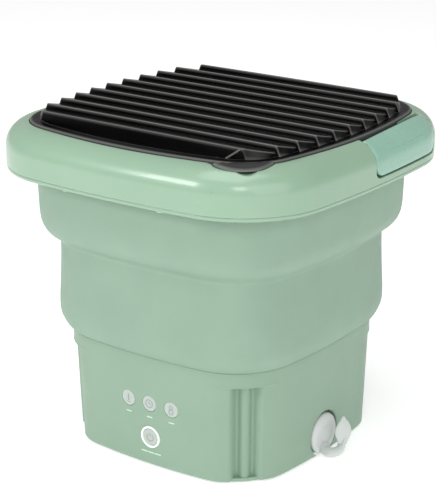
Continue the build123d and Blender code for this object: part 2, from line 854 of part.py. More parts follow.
# ---- Rim ----------------------------------------------------------------------------------------
rim_wall = 3.0
pocket_depth = 11.0
hinge_face = handle_face(hinge_reach)
hinge_origin = hinge_face.origin + Vector(0, 0, hinge_z)
hinge_line = Plane(origin=hinge_origin, x_dir=hinge_face.z_dir, z_dir=hinge_face.x_dir)
rim_screw_spots = [(137, -45), (-137, 45), (-137, -45), (45, 137), (-45, 137), (45, -137), (-45, -137)]
recess_floor = 262.5

# Walls of the pocket behind the handle flap
with BuildPart() as pocket_walls:
    add(rim_block(rim_wall - 0.5, rim_seam))
    add(rim_block(pocket_depth + rim_wall, rim_seam - 1), mode=Mode.SUBTRACT)
    with BuildSketch(handle_face(120)):
        with Locations(((handle_start + handle_end) / 2, handle_bottom - 4)):
            Rectangle(handle_end - handle_start + 8, 50, align=(Align.CENTER, Align.MIN))
    extrude(amount=40, mode=Mode.INTERSECT)

with BuildPart() as pocket_space:
    add(handle_window(0.7, 7))
    add(rim_block(pocket_depth, rim_seam - 1), mode=Mode.SUBTRACT)

with BuildPart() as rim_bosses:
    with BuildSketch(Plane.XY.offset(rim_seam)):
        with Locations(rim_screw_spots):
            Circle(3.5)
    extrude(amount=30)
    add(rim_block(1, rim_seam - 1), mode=Mode.INTERSECT)

tab_bottom = 265.2
tab_reach = 141.0 / sqrt(2)


def tab_block(bottom, height, margin):
    """Rounded lifting tab on the front right corner of the lid."""
    with BuildPart() as block:
        tab_turn = Plane(origin=(tab_reach, -tab_reach, bottom), x_dir=(1, 1, 0), z_dir=(0, 0, 1))
        with BuildSketch(tab_turn):
            Ellipse(24 + margin, 19 + margin)
        extrude(amount=height)
    return block.part


# Thumb dimple under the lid's lifting tab, on the front right corner
dimple_reach = 165.0 / sqrt(2)
dimple_plane = Plane(
    origin=(dimple_reach, -dimple_reach, 276.8), x_dir=(0, 0, 1), z_dir=(1, 1, 0)
)

with BuildPart() as rim_shell:
    add(rim_block(0, rim_seam))
    add(rim_block(rim_wall, rim_seam - 1), mode=Mode.SUBTRACT)
    add(pocket_walls.part)
    add(rim_bosses.part)
    # Wall and ledge that carry the lid, and the tub's mouth
    with BuildSketch(Plane.XY.offset(recess_floor - 3)):
        add(rounded_square(*inset(lid_plan, -3.4)))
    extrude(amount=rim_top - recess_floor + 2.5)
    with BuildSketch(Plane.XY.offset(rim_seam + 3.1)):
        add(rounded_square(*inset(mouth_plan, -3.3)))
    extrude(amount=recess_floor - rim_seam - 4)
    with BuildSketch(Plane.XY.offset(rim_seam - 1)):
        add(rounded_square(*mouth_plan))
    extrude(amount=40, mode=Mode.SUBTRACT)
    with BuildSketch(Plane.XY.offset(recess_floor)):
        add(rounded_square(*inset(lid_plan, -0.4)))
    extrude(amount=10, mode=Mode.SUBTRACT)
    add(tab_block(tab_bottom - gap, 10, gap), mode=Mode.SUBTRACT)
    add(pocket_space.part, mode=Mode.SUBTRACT)
    with BuildSketch(Plane.XY.offset(rim_seam)):
        with Locations(rim_screw_spots):
            Circle(1.4)
    extrude(amount=14, mode=Mode.SUBTRACT)
    with BuildSketch(dimple_plane.offset(-20)):
        Circle(14)
    extrude(amount=40, mode=Mode.SUBTRACT)
    with BuildSketch(hinge_line.offset(handle_start - 3.5)):
        Circle(1.2)
    extrude(amount=handle_end - handle_start + 7, mode=Mode.SUBTRACT)
save(rim_shell.part, "rim_shell")

with BuildPart() as rim_lower_ring:
    with BuildSketch(Plane.XY.offset(rim_bottom)):
        add(rounded_square(*inset(rim_plan, 0.8)))
    extrude(amount=rim_seam - rim_bottom)
    fillet(rim_lower_ring.faces().sort_by(Axis.Z)[0].edges(), 2.2)
    with BuildSketch(Plane.XY.offset(rim_bottom)):
        add(rounded_square(*inset(bellows_top_plan, -gap)))
    extrude(amount=5, mode=Mode.SUBTRACT)
    with BuildSketch(Plane.XY.offset(rim_bottom)):
        with Locations(rim_screw_spots):
            Circle(1.5)
    extrude(amount=5, mode=Mode.SUBTRACT)
save(rim_lower_ring.part, "rim_lower_ring")

with BuildPart() as rim_screws:
    with BuildSketch(Plane.XY.offset(rim_bottom - 1.6)):
        with Locations(rim_screw_spots):
            Circle(2.6)
    extrude(amount=1.6)
    with BuildSketch(Plane.XY.offset(rim_bottom)):
        with Locations(rim_screw_spots):
            Circle(1.35)
    extrude(amount=15)
save(rim_screws.part, "rim_screws")

# ---- Carrying handle --------------------------------------------------------------------------------
with BuildPart() as flap_front:
    with BuildSketch(hinge_face) as flap_face:
        with Locations(((handle_start + handle_end) / 2, handle_bottom)):
            Rectangle(handle_end - handle_start, flap_sweep, align=(Align.CENTER, Align.MIN))
        fillet(flap_face.vertices().group_by(Axis.Z)[0], flap_corner)
    extrude(amount=flap_sweep)

with BuildPart() as handle_flap:
    add(rim_block(0, rim_seam - 2))
    add(rim_block(flap_wall, rim_seam - 3), mode=Mode.SUBTRACT)
    add(flap_front.part, mode=Mode.INTERSECT)
    with BuildSketch(hinge_line.offset(handle_start)):
        Circle(knuckle_radius)
    extrude(amount=handle_end - handle_start)
    with BuildSketch(hinge_line.offset(handle_start - 1)):
        Circle(pin_radius + running)
    extrude(amount=handle_end - handle_start + 2, mode=Mode.SUBTRACT)
save(handle_flap.part, "handle_flap")

with BuildPart() as hinge_pins:
    for start in (handle_start + pin_inside - pin_length, handle_end - pin_inside):
        with BuildSketch(hinge_line.offset(start)):
            Circle(pin_radius)
        extrude(amount=pin_length)
save(hinge_pins.part, "hinge_pins")

# ---- Lid ------------------------------------------------------------------------------------------
lid_field = inset(lid_plan, field_border)
mouth_hollow = inset(mouth_plan, hollow_border)


def washboard(plan, bottom, back, drop):
    """Sawtooth field: upright faces to the front, long slopes to the back."""
    half_across = plan[0] + 1
    with BuildPart() as teeth:
        with BuildSketch(Plane.YZ.offset(-half_across)):
            with BuildLine():
                outline = [(first_rib_y + back, bottom)]
                for rib in range(rib_count):
                    crest_y = first_rib_y + rib * rib_pitch
                    foot_y = min(crest_y + rib_pitch, field_end_y)
                    outline.append((crest_y + back, rib_crest - drop))
                    outline.append((foot_y + back, rib_foot - drop))
                outline.append((field_end_y + back, bottom))
                Polyline(*outline, close=True)
            make_face()
        extrude(amount=2 * half_across)
        with BuildSketch(Plane.XY.offset(bottom)):
            add(rounded_square(*plan))
        extrude(amount=rib_crest - bottom, mode=Mode.INTERSECT)
    return teeth.part


with BuildPart() as lid_tab:
    add(tab_block(tab_bottom, lid_edge_top - tab_bottom, 0))
    fillet(lid_tab.faces().sort_by(Axis.Z)[-1].edges(), 1.4)

with BuildPart() as lid_washboard:
    with BuildSketch(Plane.XY.offset(recess_floor + 0.1)):
        add(rounded_square(*lid_plan))
    extrude(amount=lid_edge_top - recess_floor - 0.1)
    fillet(lid_washboard.faces().sort_by(Axis.Z)[-1].edges(), 1.2)
    with BuildSketch(Plane.XY.offset(field_floor)):
        add(rounded_square(*lid_field))
    extrude(amount=5, mode=Mode.SUBTRACT)
    add(washboard(lid_field, field_bottom, 0, 0))
    add(lid_tab.part)
    with BuildSketch(Plane.XY.offset(spigot_bottom)):
        add(rounded_square(*inset(mouth_plan, spigot_border)))
    extrude(amount=field_bottom - spigot_bottom)
    with BuildSketch(Plane.XY.offset(spigot_bottom - 1)):
        add(rounded_square(*mouth_hollow))
    extrude(amount=field_bottom + 0.5 - spigot_bottom + 1, mode=Mode.SUBTRACT)
    add(washboard(mouth_hollow, hollow_floor, hollow_back, hollow_drop), mode=Mode.SUBTRACT)
save(lid_washboard.part, "lid_washboard")

with BuildPart() as lid_seal:
    with BuildSketch(Plane.XY.offset(seal_bottom)):
        add(rounded_square(*inset(mouth_plan, seal_border)))
        add(rounded_square(*inset(mouth_plan, spigot_border)), mode=Mode.SUBTRACT)
    extrude(amount=seal_height)
save(lid_seal.part, "lid_seal")
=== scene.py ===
import json
from math import cos, pi, radians, sin

import bmesh
import bpy
import numpy as np
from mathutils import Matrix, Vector


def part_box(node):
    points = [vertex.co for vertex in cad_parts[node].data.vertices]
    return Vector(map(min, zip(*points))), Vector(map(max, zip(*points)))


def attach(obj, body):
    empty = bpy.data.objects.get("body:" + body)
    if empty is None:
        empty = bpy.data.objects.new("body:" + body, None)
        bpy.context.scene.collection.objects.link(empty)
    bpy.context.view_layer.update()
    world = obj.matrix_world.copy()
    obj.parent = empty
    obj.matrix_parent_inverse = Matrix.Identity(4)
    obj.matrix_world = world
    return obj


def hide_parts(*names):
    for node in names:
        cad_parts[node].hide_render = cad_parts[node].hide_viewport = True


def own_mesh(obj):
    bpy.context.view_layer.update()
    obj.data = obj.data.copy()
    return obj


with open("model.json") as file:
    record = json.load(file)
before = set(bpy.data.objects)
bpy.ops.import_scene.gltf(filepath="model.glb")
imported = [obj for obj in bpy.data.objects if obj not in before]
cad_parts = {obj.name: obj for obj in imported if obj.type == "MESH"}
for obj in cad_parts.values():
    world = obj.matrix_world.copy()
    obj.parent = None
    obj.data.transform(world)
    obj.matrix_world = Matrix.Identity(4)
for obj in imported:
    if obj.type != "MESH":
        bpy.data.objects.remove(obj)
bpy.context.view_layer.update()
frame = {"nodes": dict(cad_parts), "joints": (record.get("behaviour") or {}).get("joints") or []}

# Portable mini washer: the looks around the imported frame. Shapes are worked out in millimetres
# and written to Blender in metres, +Z up, control panel facing -Y, carrying handle on +X.

MM = 0.001


# ---- Places read from the frame ---------------------------------------
def low(node):
    return np.array(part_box(node)[0]) / MM


def high(node):
    return np.array(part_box(node)[1]) / MM


def joint(name):
    return next(j for j in frame["joints"] if j["name"] == name)


rim_top = high("rim_shell")[2]
rim_seam = low("rim_shell")[2]
rim_bottom = low("rim_lower_ring")[2]
base_bottom = low("base_housing")[2]
base_top = high("base_housing")[2]
lid_high = high("lid_washboard")[2]
lid_low = low("lid_washboard")[2]
under_rim = high("bellows_upper_clamp")[2] + 0.4

hinge = joint("handle_fold")
hinge_point = np.array(hinge["pos_m"]) / MM
hinge_along = -np.array(hinge["axis"])
hinge_out = np.array([hinge_along[1], -hinge_along[0], 0.0])


# ---- Plan shapes: rounded squares whose sides bow out -----------------
class Plan:
    """Half width mid-side, corner radius and outward bow of each side."""

    def __init__(self, half, corner, bow):
        self.half, self.corner, self.bow = half, corner, bow
        self.centre = half - bow - corner
        self.lean = 2 * np.arctan2(bow, self.centre)
        self.side = self.centre / np.sin(self.lean) + corner
        self.side_centre = half - self.side

    def inset(self, amount):
        return Plan(self.half - amount, self.corner - amount, self.bow)

    def points(self, stations):
        """Points and outward directions at stations: quarter number, then 0 to 0.5 along its
        side and 0.5 to 1 round its corner."""
        quarter = np.floor(stations)
        part = stations - quarter
        on_side = part < 0.5
        side_angle = self.lean * (4 * part - 1)
        corner_angle = self.lean + (2 * part - 1) * (pi / 2 - 2 * self.lean)
        angle = np.where(on_side, side_angle, corner_angle)
        radius = np.where(on_side, self.side, self.corner)
        across = np.where(on_side, self.side_centre, self.centre)
        along = np.where(on_side, 0.0, self.centre)
        x = across + radius * np.cos(angle)
        y = along + radius * np.sin(angle)
        turn = quarter * pi / 2
        turned = np.stack([x * np.cos(turn) - y * np.sin(turn), x * np.sin(turn) + y * np.cos(turn)], 1)
        facing = np.stack([np.cos(angle + turn), np.sin(angle + turn)], 1)
        return turned, facing

    def depth(self, x, y):
        """Distance inside the outline, and the outward direction there."""
        ax, ay = np.abs(x), np.abs(y)
        swap = ay > ax
        across, along = np.where(swap, ay, ax), np.where(swap, ax, ay)
        on_side = np.arctan2(along, across - self.side_centre) < self.lean
        from_x = across - np.where(on_side, self.side_centre, self.centre)
        from_y = along - np.where(on_side, 0.0, self.centre)
        reach = np.maximum(np.hypot(from_x, from_y), 1e-9)
        distance = np.where(on_side, self.side, self.corner) - reach
        nx, ny = from_x / reach, from_y / reach
        nx, ny = np.where(swap, ny, nx), np.where(swap, nx, ny)
        return distance, nx * np.sign(x), ny * np.sign(y)

    def half_width(self, y):
        """Half the width across X at each y."""
        y = np.abs(y)
        end_across = self.centre + self.corner * sin(self.lean)
        end_out = self.centre + self.corner * cos(self.lean)
        by_side = self.side_centre + np.sqrt(np.maximum(self.side**2 - y**2, 0))
        by_corner = self.centre + np.sqrt(np.maximum(self.corner**2 - (y - self.centre) ** 2, 0))
        by_end = np.sqrt(np.maximum(self.side**2 - (y - self.side_centre) ** 2, 0))
        return np.where(y <= end_across, by_side, np.where(y <= end_out, by_corner, by_end))


rim_plan = Plan(high("rim_shell")[0], 72.0, 2.8)
lid_plan = Plan(high("lid_washboard")[0], 44.0, 7.7)
mouth_plan = Plan(high("lid_seal")[0] + 0.3, 36.0, 7.0)
base_top_plan = Plan(high("base_housing")[0], 54.0, 2.7)
base_bottom_plan = Plan(high("base_housing")[0] - 3.2, 51.0, 2.7)


def spread(counts):
    """Stations round a plan from (side, corner) counts for its four quarters."""
    parts = []
    for quarter, (side, corner) in enumerate(counts):
        parts.append(quarter + 0.5 * np.arange(side) / side)
        parts.append(quarter + 0.5 + 0.5 * np.arange(corner) / corner)
    return np.concatenate(parts)


def smooth(value):
    value = np.clip(value, 0, 1)
    return value * value * (3 - 2 * value)


# ---- Meshes -----------------------------------------------------------
sharp_angle = radians(32)


def shaded(mesh):
    """Smooth shading but for edges sharper than sharp_angle."""
    mesh.shade_smooth()
    mesh.set_sharp_from_angle(angle=sharp_angle)


def mesh_object(name, points, faces):
    """Object from millimetre points."""
    mesh = bpy.data.meshes.new(name)
    mesh.from_pydata([tuple(p) for p in np.asarray(points, float) * MM], [], faces)
    mesh.validate()
    shaded(mesh)
    made = bpy.data.objects.new(name, mesh)
    bpy.context.scene.collection.objects.link(made)
    return made


def loft(rings, closed=False):
    """Points and faces through rings of equal length: open ends get a cap, closed joins them."""
    rings = np.asarray(rings, float)
    count, size = rings.shape[:2]
    faces = []
    for row in range(count if closed else count - 1):
        here, there = row * size, (row + 1) % count * size
        for i in range(size):
            j = (i + 1) % size
            faces.append((here + i, here + j, there + j, there + i))
    points = rings.reshape(-1, 3)
    if not closed:
        ends = np.array([rings[0].mean(0), rings[-1].mean(0)])
        last = (count - 1) * size
        for i in range(size):
            j = (i + 1) % size
            faces.append((count * size, j, i))
            faces.append((count * size + 1, last + i, last + j))
        points = np.concatenate([points, ends])
    return points, faces


def joined(*parts):
    """Several sets of points and faces as one."""
    points, faces, start = [], [], 0
    for part_points, part_faces in parts:
        points.append(part_points)
        faces += [tuple(start + i for i in face) for face in part_faces]
        start += len(part_points)
    return np.concatenate(points), faces


def ring(plan, stations, height):
    """One ring of a plan at a height, which may vary along it."""
    flat, _ = plan.points(stations)
    return np.column_stack([flat, np.broadcast_to(height, len(flat))])


def cut(made, cutter, operation="DIFFERENCE"):
    """Boolean of two objects, applied; the cutter is used up."""
    change = made.modifiers.new("cut", "BOOLEAN")
    change.operation, change.solver, change.object = operation, "EXACT", cutter
    bpy.context.view_layer.update()
    result = bpy.data.meshes.new_from_object(made.evaluated_get(bpy.context.evaluated_depsgraph_get()))
    made.modifiers.clear()
    made.data = result
    bpy.data.objects.remove(cutter)
    shaded(made.data)
    return made


def outward(made):
    """Faces of every closed shell turned outwards."""
    work = bmesh.new()
    work.from_mesh(made.data)
    bmesh.ops.remove_doubles(work, verts=work.verts, dist=1e-7)
    bmesh.ops.recalc_face_normals(work, faces=work.faces)
    work.to_mesh(made.data)
    work.free()
    shaded(made.data)
    return made


def turned(profile, centre, axis, steps=48):
    """Solid of revolution: (radius, along axis) profile from one end of the axis to the other."""
    axis = Vector(axis).normalized()
    side = axis.orthogonal().normalized()
    other = axis.cross(side)
    rings = []
    for radius, along in profile:
        angles = np.arange(steps) * 2 * pi / steps
        rings.append([
            np.array(centre) + np.array(axis) * along
            + radius * (cos(a) * np.array(side) + sin(a) * np.array(other))
            for a in angles
        ])
    return loft(rings)


# ---- Materials --------------------------------------------------------
def linear(red, green, blue):
    """Colour as seen on screen, 0 to 255, to a linear colour."""
    values = []
    for value in (red, green, blue):
        value /= 255
        values.append(value / 12.92 if value <= 0.04045 else ((value + 0.055) / 1.055) ** 2.4)
    return (*values, 1.0)


def moulded(name, colour, roughness, *, vary=0.05, rough_vary=0.06, grain=900.0, grain_depth=0.02,
            wave=25.0, wave_depth=0.006, wear_and_highlight=0.12, coat=0.0, coat_roughness=0.1, specular=0.5,
            metal=0.0, soft=0.0, clear=0.0, streak=(1.0, 1.0, 1.0), edge=None,
            wear_and_highlight_range=(0.52, 0.60)):
    """Moulded or machined finish: cloudy colour, uneven gloss, fine grain over slow waves, and edges paler
    from wear. Where an edge colour is given, the pale edges are a painted highlight on rounded crests."""
    finish = bpy.data.materials.new(name)
    finish.use_nodes = True
    nodes, links = finish.node_tree.nodes, finish.node_tree.links
    nodes.clear()

    def node(kind, **values):
        made = nodes.new("ShaderNode" + kind)
        for key, value in values.items():
            setattr(made, key, value)
        return made

    def noise(scale, detail, lacunarity=2.0):
        made = node("TexNoise")
        made.inputs["Scale"].default_value = scale
        made.inputs["Detail"].default_value = detail
        made.inputs["Lacunarity"].default_value = lacunarity
        links.new(place.outputs["Vector"], made.inputs["Vector"])
        return made.outputs["Fac"]

    def mapped(source, from_low, from_high, to_low, to_high):
        made = node("MapRange")
        for key, value in (("From Min", from_low), ("From Max", from_high),
                           ("To Min", to_low), ("To Max", to_high)):
            made.inputs[key].default_value = value
        links.new(source, made.inputs["Value"])
        return made.outputs["Result"]

    def mixed(factor, first, second):
        made = node("Mix", data_type="RGBA")
        links.new(factor, made.inputs["Factor"])
        for socket, value in ((made.inputs[6], first), (made.inputs[7], second)):
            if isinstance(value, tuple):
                socket.default_value = value
            else:
                links.new(value, socket)
        return made.outputs[2]

    where = node("TexCoord")
    place = node("Mapping")
    place.inputs["Scale"].default_value = streak
    links.new(where.outputs["Object"], place.inputs["Vector"])
    shader = node("BsdfPrincipled")
    output = node("OutputMaterial")
    links.new(shader.outputs["BSDF"], output.inputs["Surface"])

    deep = tuple(c * (1 - vary) for c in colour[:3]) + (1.0,)
    pale = tuple(min(c * (1 + vary) + 0.02 * vary, 1.0) for c in colour[:3]) + (1.0,)
    clouds = mapped(noise(wave, 3.0), 0.3, 0.7, 0.0, 1.0)
    body = mixed(clouds, deep, pale)
    specks = mapped(noise(grain * 1.3, 2.0), 0.60, 0.72, 0.0, 3 * vary)
    body = mixed(specks, body, tuple(c * 0.85 for c in colour[:3]) + (1.0,))
    # Pale edges by pointiness: wear on most finishes, and a painted highlight where the edge colour is given
    edges = mapped(node("NewGeometry").outputs["Pointiness"], *wear_and_highlight_range, 0.0, wear_and_highlight)
    light = edge or tuple(c + (1 - c) * 0.35 for c in colour[:3]) + (1.0,)
    body = mixed(edges, body, light)
    links.new(body, shader.inputs["Base Color"])

    gloss = mapped(noise(wave * 2.7, 4.0), 0.3, 0.7, roughness - rough_vary, roughness + rough_vary)
    links.new(gloss, shader.inputs["Roughness"])

    slow = node("Bump")
    slow.inputs["Strength"].default_value = wave_depth
    slow.inputs["Distance"].default_value = 0.01
    links.new(noise(wave * 1.6, 2.0), slow.inputs["Height"])
    fine = node("Bump")
    fine.inputs["Strength"].default_value = grain_depth
    fine.inputs["Distance"].default_value = 0.001
    links.new(noise(grain, 3.0), fine.inputs["Height"])
    links.new(slow.outputs["Normal"], fine.inputs["Normal"])
    links.new(fine.outputs["Normal"], shader.inputs["Normal"])

    shader.inputs["Metallic"].default_value = metal
    shader.inputs["Specular IOR Level"].default_value = specular
    shader.inputs["Coat Weight"].default_value = coat
    shader.inputs["Coat Roughness"].default_value = coat_roughness
    if soft:
        shader.inputs["Subsurface Weight"].default_value = soft
        shader.inputs["Subsurface Radius"].default_value = (0.6, 0.8, 0.6)
        shader.inputs["Subsurface Scale"].default_value = 0.004
    if clear:
        shader.inputs["Transmission Weight"].default_value = clear
    return finish


finishes = {finish.name.split(".")[0]: finish for finish in (
    moulded("mint_gloss", linear(139, 170, 145), 0.33, vary=0.02, grain=420, coat=0.45,
            coat_roughness=0.14, grain_depth=0.03, wear_and_highlight=0.10),
    moulded("mint_handle", linear(138, 180, 162), 0.30, vary=0.03, grain=420, coat=0.25,
            coat_roughness=0.12, grain_depth=0.03, wear_and_highlight=0.22),
    moulded("mint_satin", linear(135, 161, 141), 0.48, vary=0.025, grain=1500,
            grain_depth=0.06, wear_and_highlight=0.10),
    moulded("mint_bellows", linear(136, 162, 143), 0.56, vary=0.035, grain=1300,
            grain_depth=0.07, wave_depth=0.05, wear_and_highlight=0.05, soft=0.06),
    # Painted highlight: pointiness paints the lid's rib crests and rounded edges grey, standing in for the
    # shine on them
    moulded("black_lid", linear(3, 3, 3), 0.30, vary=0.08, grain=900, grain_depth=0.012,
            wave_depth=0.003, wear_and_highlight=0.9, edge=linear(116, 118, 115), wear_and_highlight_range=(0.504, 0.545),
            specular=0.06, rough_vary=0.04),
    moulded("inner_white", linear(206, 218, 206), 0.34, grain=800, wear_and_highlight=0.03, vary=0.02),
    moulded("pulsator_white", linear(222, 228, 222), 0.26, grain=700, coat=0.3,
            vary=0.02, wear_and_highlight=0.03),
    moulded("seal_rubber", linear(70, 74, 72), 0.72, grain=1800, grain_depth=0.12),
    moulded("foot_rubber", linear(58, 60, 59), 0.78, grain=1600, grain_depth=0.15),
    moulded("clear_silicone", linear(208, 213, 210), 0.34, vary=0.02, grain=900,
            soft=0.3, clear=0.05, wear_and_highlight=0.10),
    moulded("lens_white", linear(176, 186, 180), 0.30, vary=0.03, soft=0.25, wear_and_highlight=0.1),
    moulded("button_white", linear(172, 180, 174), 0.24, vary=0.02, coat=0.5, wear_and_highlight=0.15),
    moulded("steel", linear(178, 180, 182), 0.28, metal=1.0, vary=0.04, grain=2400,
            grain_depth=0.05, streak=(1.0, 1.0, 6.0)),
    moulded("bronze", linear(176, 140, 92), 0.42, metal=1.0, vary=0.12, grain=2200,
            grain_depth=0.12),
    moulded("gear_white", linear(224, 222, 212), 0.42, vary=0.03, grain=1500),
    moulded("board_green", linear(38, 92, 60), 0.35, vary=0.12, grain=1200, coat=0.4),
    moulded("black_plastic", linear(40, 41, 42), 0.45, vary=0.12, grain=1500,
            grain_depth=0.08),
    moulded("led_white", linear(236, 234, 216), 0.25, vary=0.03, coat=0.4),
    moulded("lead_black", linear(34, 34, 36), 0.5, vary=0.15, grain=1600),
    moulded("grey_plastic", linear(150, 154, 150), 0.5, vary=0.05, grain=1400,
            grain_depth=0.07),
    moulded("symbol_grey", linear(140, 148, 143), 0.45, vary=0.04),
    moulded("mark_pale", linear(196, 222, 199), 0.4, vary=0.03),
    moulded("ring_bright", linear(240, 250, 242), 0.2, vary=0.02, coat=0.8, wear_and_highlight=0.2),
)}

for cad in frame["nodes"].values():
    for holder in cad.material_slots:
        name = holder.material.name.split(".")[0]
        if name in finishes:
            holder.material = finishes[name]


def finished(made, material, body, replaced=()):
    """Material, body and the CAD nodes that a piece stands for."""
    made.data.materials.clear()
    made.data.materials.append(finishes[material])
    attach(made, body)
    if replaced:
        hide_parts(*replaced)
    return made


# ---- Rim --------------------------------------------------------------
rounding = 19.0
shoulder = rim_top - rounding
recess_floor = 262.5
recess_plan = lid_plan.inset(-0.45)
rim_stations = spread([(190, 110), (60, 44), (60, 44), (60, 110)])
diagonal = np.array([1.0, -1.0, 0.0]) / 2**0.5
crosswise = np.array([1.0, 1.0, 0.0]) / 2**0.5
# Lid's tab: its centre outwards and across the corner, half sizes, and the seat pressed for it
tab_reach, tab_across = 141.0, -7.0
tab_half_out, tab_half_across = 20.0, 23.0
seat_half_out, seat_half_across = 21.0, 23.7
seat_height = 265.0
dimple_radius, dimple_centre = 15.0, 277.2


def rim_surface(depth):
    """Height of the bull-nose at a distance inside the rim's outline."""
    inside = np.clip(depth, 0, rounding)
    return shoulder + np.sqrt(np.maximum(rounding**2 - (rounding - inside) ** 2, 0))


def rim_dips(points):
    """Thumb dimple and the shallow seat of the lid's tab, at the front right corner."""
    out = points @ diagonal
    across = points @ crosswise - tab_across
    tab = np.hypot(across / seat_half_across, (out - tab_reach) / seat_half_out)
    seat = seat_height - 0.10 * np.maximum(out - 152, 0)
    seat_share = smooth((1.03 - tab) / 0.06)
    dimple_floor = dimple_centre - np.sqrt(np.maximum(dimple_radius**2 - across**2, 0))
    dimple = smooth((16.5 - np.abs(across)) / 8.0) * smooth((out - 140) / 8)
    lowered = points.copy()
    top = points[:, 2]
    target = np.where(top > seat, top + (seat - top) * seat_share, top)
    dimple_target = np.where(target > dimple_floor, target + (dimple_floor - target) * dimple, target)
    lowered[:, 2] = np.where(out > 100, dimple_target, top)
    return lowered


def rim_shape():
    rings = []
    # Outer wall, from the seam up to the shoulder, then the bull-nose to the lid's recess
    for height in (rim_seam, rim_seam + 0.35, rim_seam + 0.8, rim_seam + 2.5, 238.0, 241.0, 244.0, shoulder):
        back = 0.55 * (1 - smooth((height - rim_seam) / 0.8))
        rings.append(ring(rim_plan.inset(back), rim_stations, height))
    bend_steps = 26
    turn_end = radians(62)
    for step in range(1, bend_steps + 1):
        turn = turn_end * step / bend_steps
        depth = rounding * (1 - cos(turn))
        rings.append(ring(rim_plan.inset(depth), rim_stations, rim_surface(depth)))
    outer = rings[-1]
    lip, facing = recess_plan.points(rim_stations)
    lip_steps = 12
    for step in range(1, lip_steps + 1):
        share = step / lip_steps
        flat = outer[:, :2] + (lip + facing * 0.7 - outer[:, :2]) * share
        depth, _, _ = rim_plan.depth(flat[:, 0], flat[:, 1])
        rings.append(np.column_stack([flat, rim_surface(depth)]))
    edge = rings[-1]
    for inward, drop in ((0.35, 0.1), (0.6, 0.35), (0.7, 0.8)):
        rings.append(np.column_stack([lip + facing * (0.7 - inward), edge[:, 2] - drop]))
    rings = [rim_dips(points) for points in rings]
    rings.append(np.column_stack([lip, np.full(len(lip), recess_floor + 0.4)]))
    rings.append(np.column_stack([lip - facing * 0.4, np.full(len(lip), recess_floor)]))
    # Ledge under the lid, the mouth, and the underside over the bellows' flange
    for inward, height in ((-0.9, recess_floor), (-0.3, recess_floor - 0.2), (0, recess_floor - 0.9),
                           (0, under_rim + 1.0), (-0.5, under_rim)):
        rings.append(ring(mouth_plan.inset(inward), rim_stations, height))
    for inward, height in ((12.5, under_rim), (12.0, under_rim - 0.4), (12.0, rim_seam)):
        rings.append(ring(rim_plan.inset(inward), rim_stations, height))
    return loft(rings, closed=True)


# ---- Carrying handle: places on the rim, along the hinge and up from the flap's edge ----
flap_low = low("handle_flap")[2]
flap_length = 98.0
flap_start = -13.5
window_back = 6.0
straight = shoulder - flap_low


def on_rim(along, up, proud):
    """Points over the rim: along the hinge, up the surface from the flap's lower edge, and proud."""
    along, up, proud = (np.asarray(v, float) for v in np.broadcast_arrays(along, up, proud))
    turn = np.clip((up - straight) / rounding, 0, pi / 2)
    depth = rounding * (1 - np.cos(turn))
    reach_low, reach_high = np.full(along.shape, 90.0), np.full(along.shape, 175.0)
    for _ in range(40):
        reach = (reach_low + reach_high) / 2
        x = hinge_out[0] * reach + hinge_along[0] * along
        y = hinge_out[1] * reach + hinge_along[1] * along
        inside = rim_plan.depth(x, y)[0] > depth
        reach_low, reach_high = np.where(inside, reach, reach_low), np.where(inside, reach_high, reach)
    _, nx, ny = rim_plan.depth(x, y)
    z = np.where(up < straight, flap_low + up, shoulder + rounding * np.sin(turn))
    flat = np.cos(turn)
    return np.stack([x + nx * flat * proud, y + ny * flat * proud, z + np.sin(turn) * proud], -1)


def top_of_flap(along, back):
    """How far up the surface a line parallel to the hinge lies, back behind it."""
    reach = hinge_point @ hinge_out - back
    x = hinge_out[0] * reach + hinge_along[0] * along
    y = hinge_out[1] * reach + hinge_along[1] * along
    depth = np.clip(rim_plan.depth(x, y)[0], 0, rounding)
    return straight + rounding * np.arccos(1 - depth / rounding)


def flap_rings(shape, margin, lower_corner, back, upper_corner=1.2):
    """Closed solid that follows the rim: (inset, proud) rings of the flap's outline."""
    # Straight sides follow the last point of each 13-point corner, and are split finely
    side_pieces = {12: 72, 25: 24, 38: 72, 51: 24}
    rings = []
    length, start = flap_length + 2 * margin, flap_start - margin
    middle_up = float(top_of_flap(np.array([flap_start + flap_length / 2]), back)[0])
    for inset, proud in shape:
        outline = []
        turns = (
            (lower_corner, pi, 1.5 * pi),
            (lower_corner, 1.5 * pi, 2 * pi),
            (upper_corner, 0, pi / 2),
            (upper_corner, pi / 2, pi),
        )
        for number, (radius, first, last) in enumerate(turns):
            radius = max(radius - inset, 0.15)
            left = number in (0, 3)
            lower = number in (0, 1)
            corner_x = start + inset + radius if left else start + length - inset - radius
            corner_y = -margin + inset + radius if lower else middle_up - inset - radius
            for step in range(13):
                angle = first + (last - first) * step / 12
                outline.append((corner_x + radius * cos(angle), corner_y + radius * sin(angle)))
        dense = []
        for i, (x, y) in enumerate(outline):
            next_x, next_y = outline[(i + 1) % len(outline)]
            pieces = side_pieces.get(i, 1)
            for step in range(pieces):
                share = step / pieces
                dense.append((x + (next_x - x) * share, y + (next_y - y) * share))
        dense = np.array(dense)
        along = dense[:, 0]
        lift = top_of_flap(along, back) / middle_up
        up = np.where(dense[:, 1] > 0, dense[:, 1] * lift, dense[:, 1])
        rings.append(on_rim(along, up, proud))
    return rings


def flap_solid(shape, margin, lower_corner, back):
    return loft(flap_rings(shape, margin, lower_corner, back))


window_cut = [(14.0, 4.0), (6.0, 4.0), (-1.9, 4.0), (-1.5, 2.0), (-0.75, 0.25), (-0.3, -0.08),
              (-0.05, -0.4), (0.0, -0.9), (0.3, -6.0), (0.6, -10.2), (1.4, -11.0), (6.0, -11.0),
              (14.0, -11.0)]
rim = mesh_object("rim_body", *rim_shape())
outward(rim)
window = mesh_object("window", *flap_solid(window_cut, 1.0, 7.0, window_back))
outward(window)
cut(rim, window)
finished(rim, "mint_gloss", "rim", ["rim_shell"])

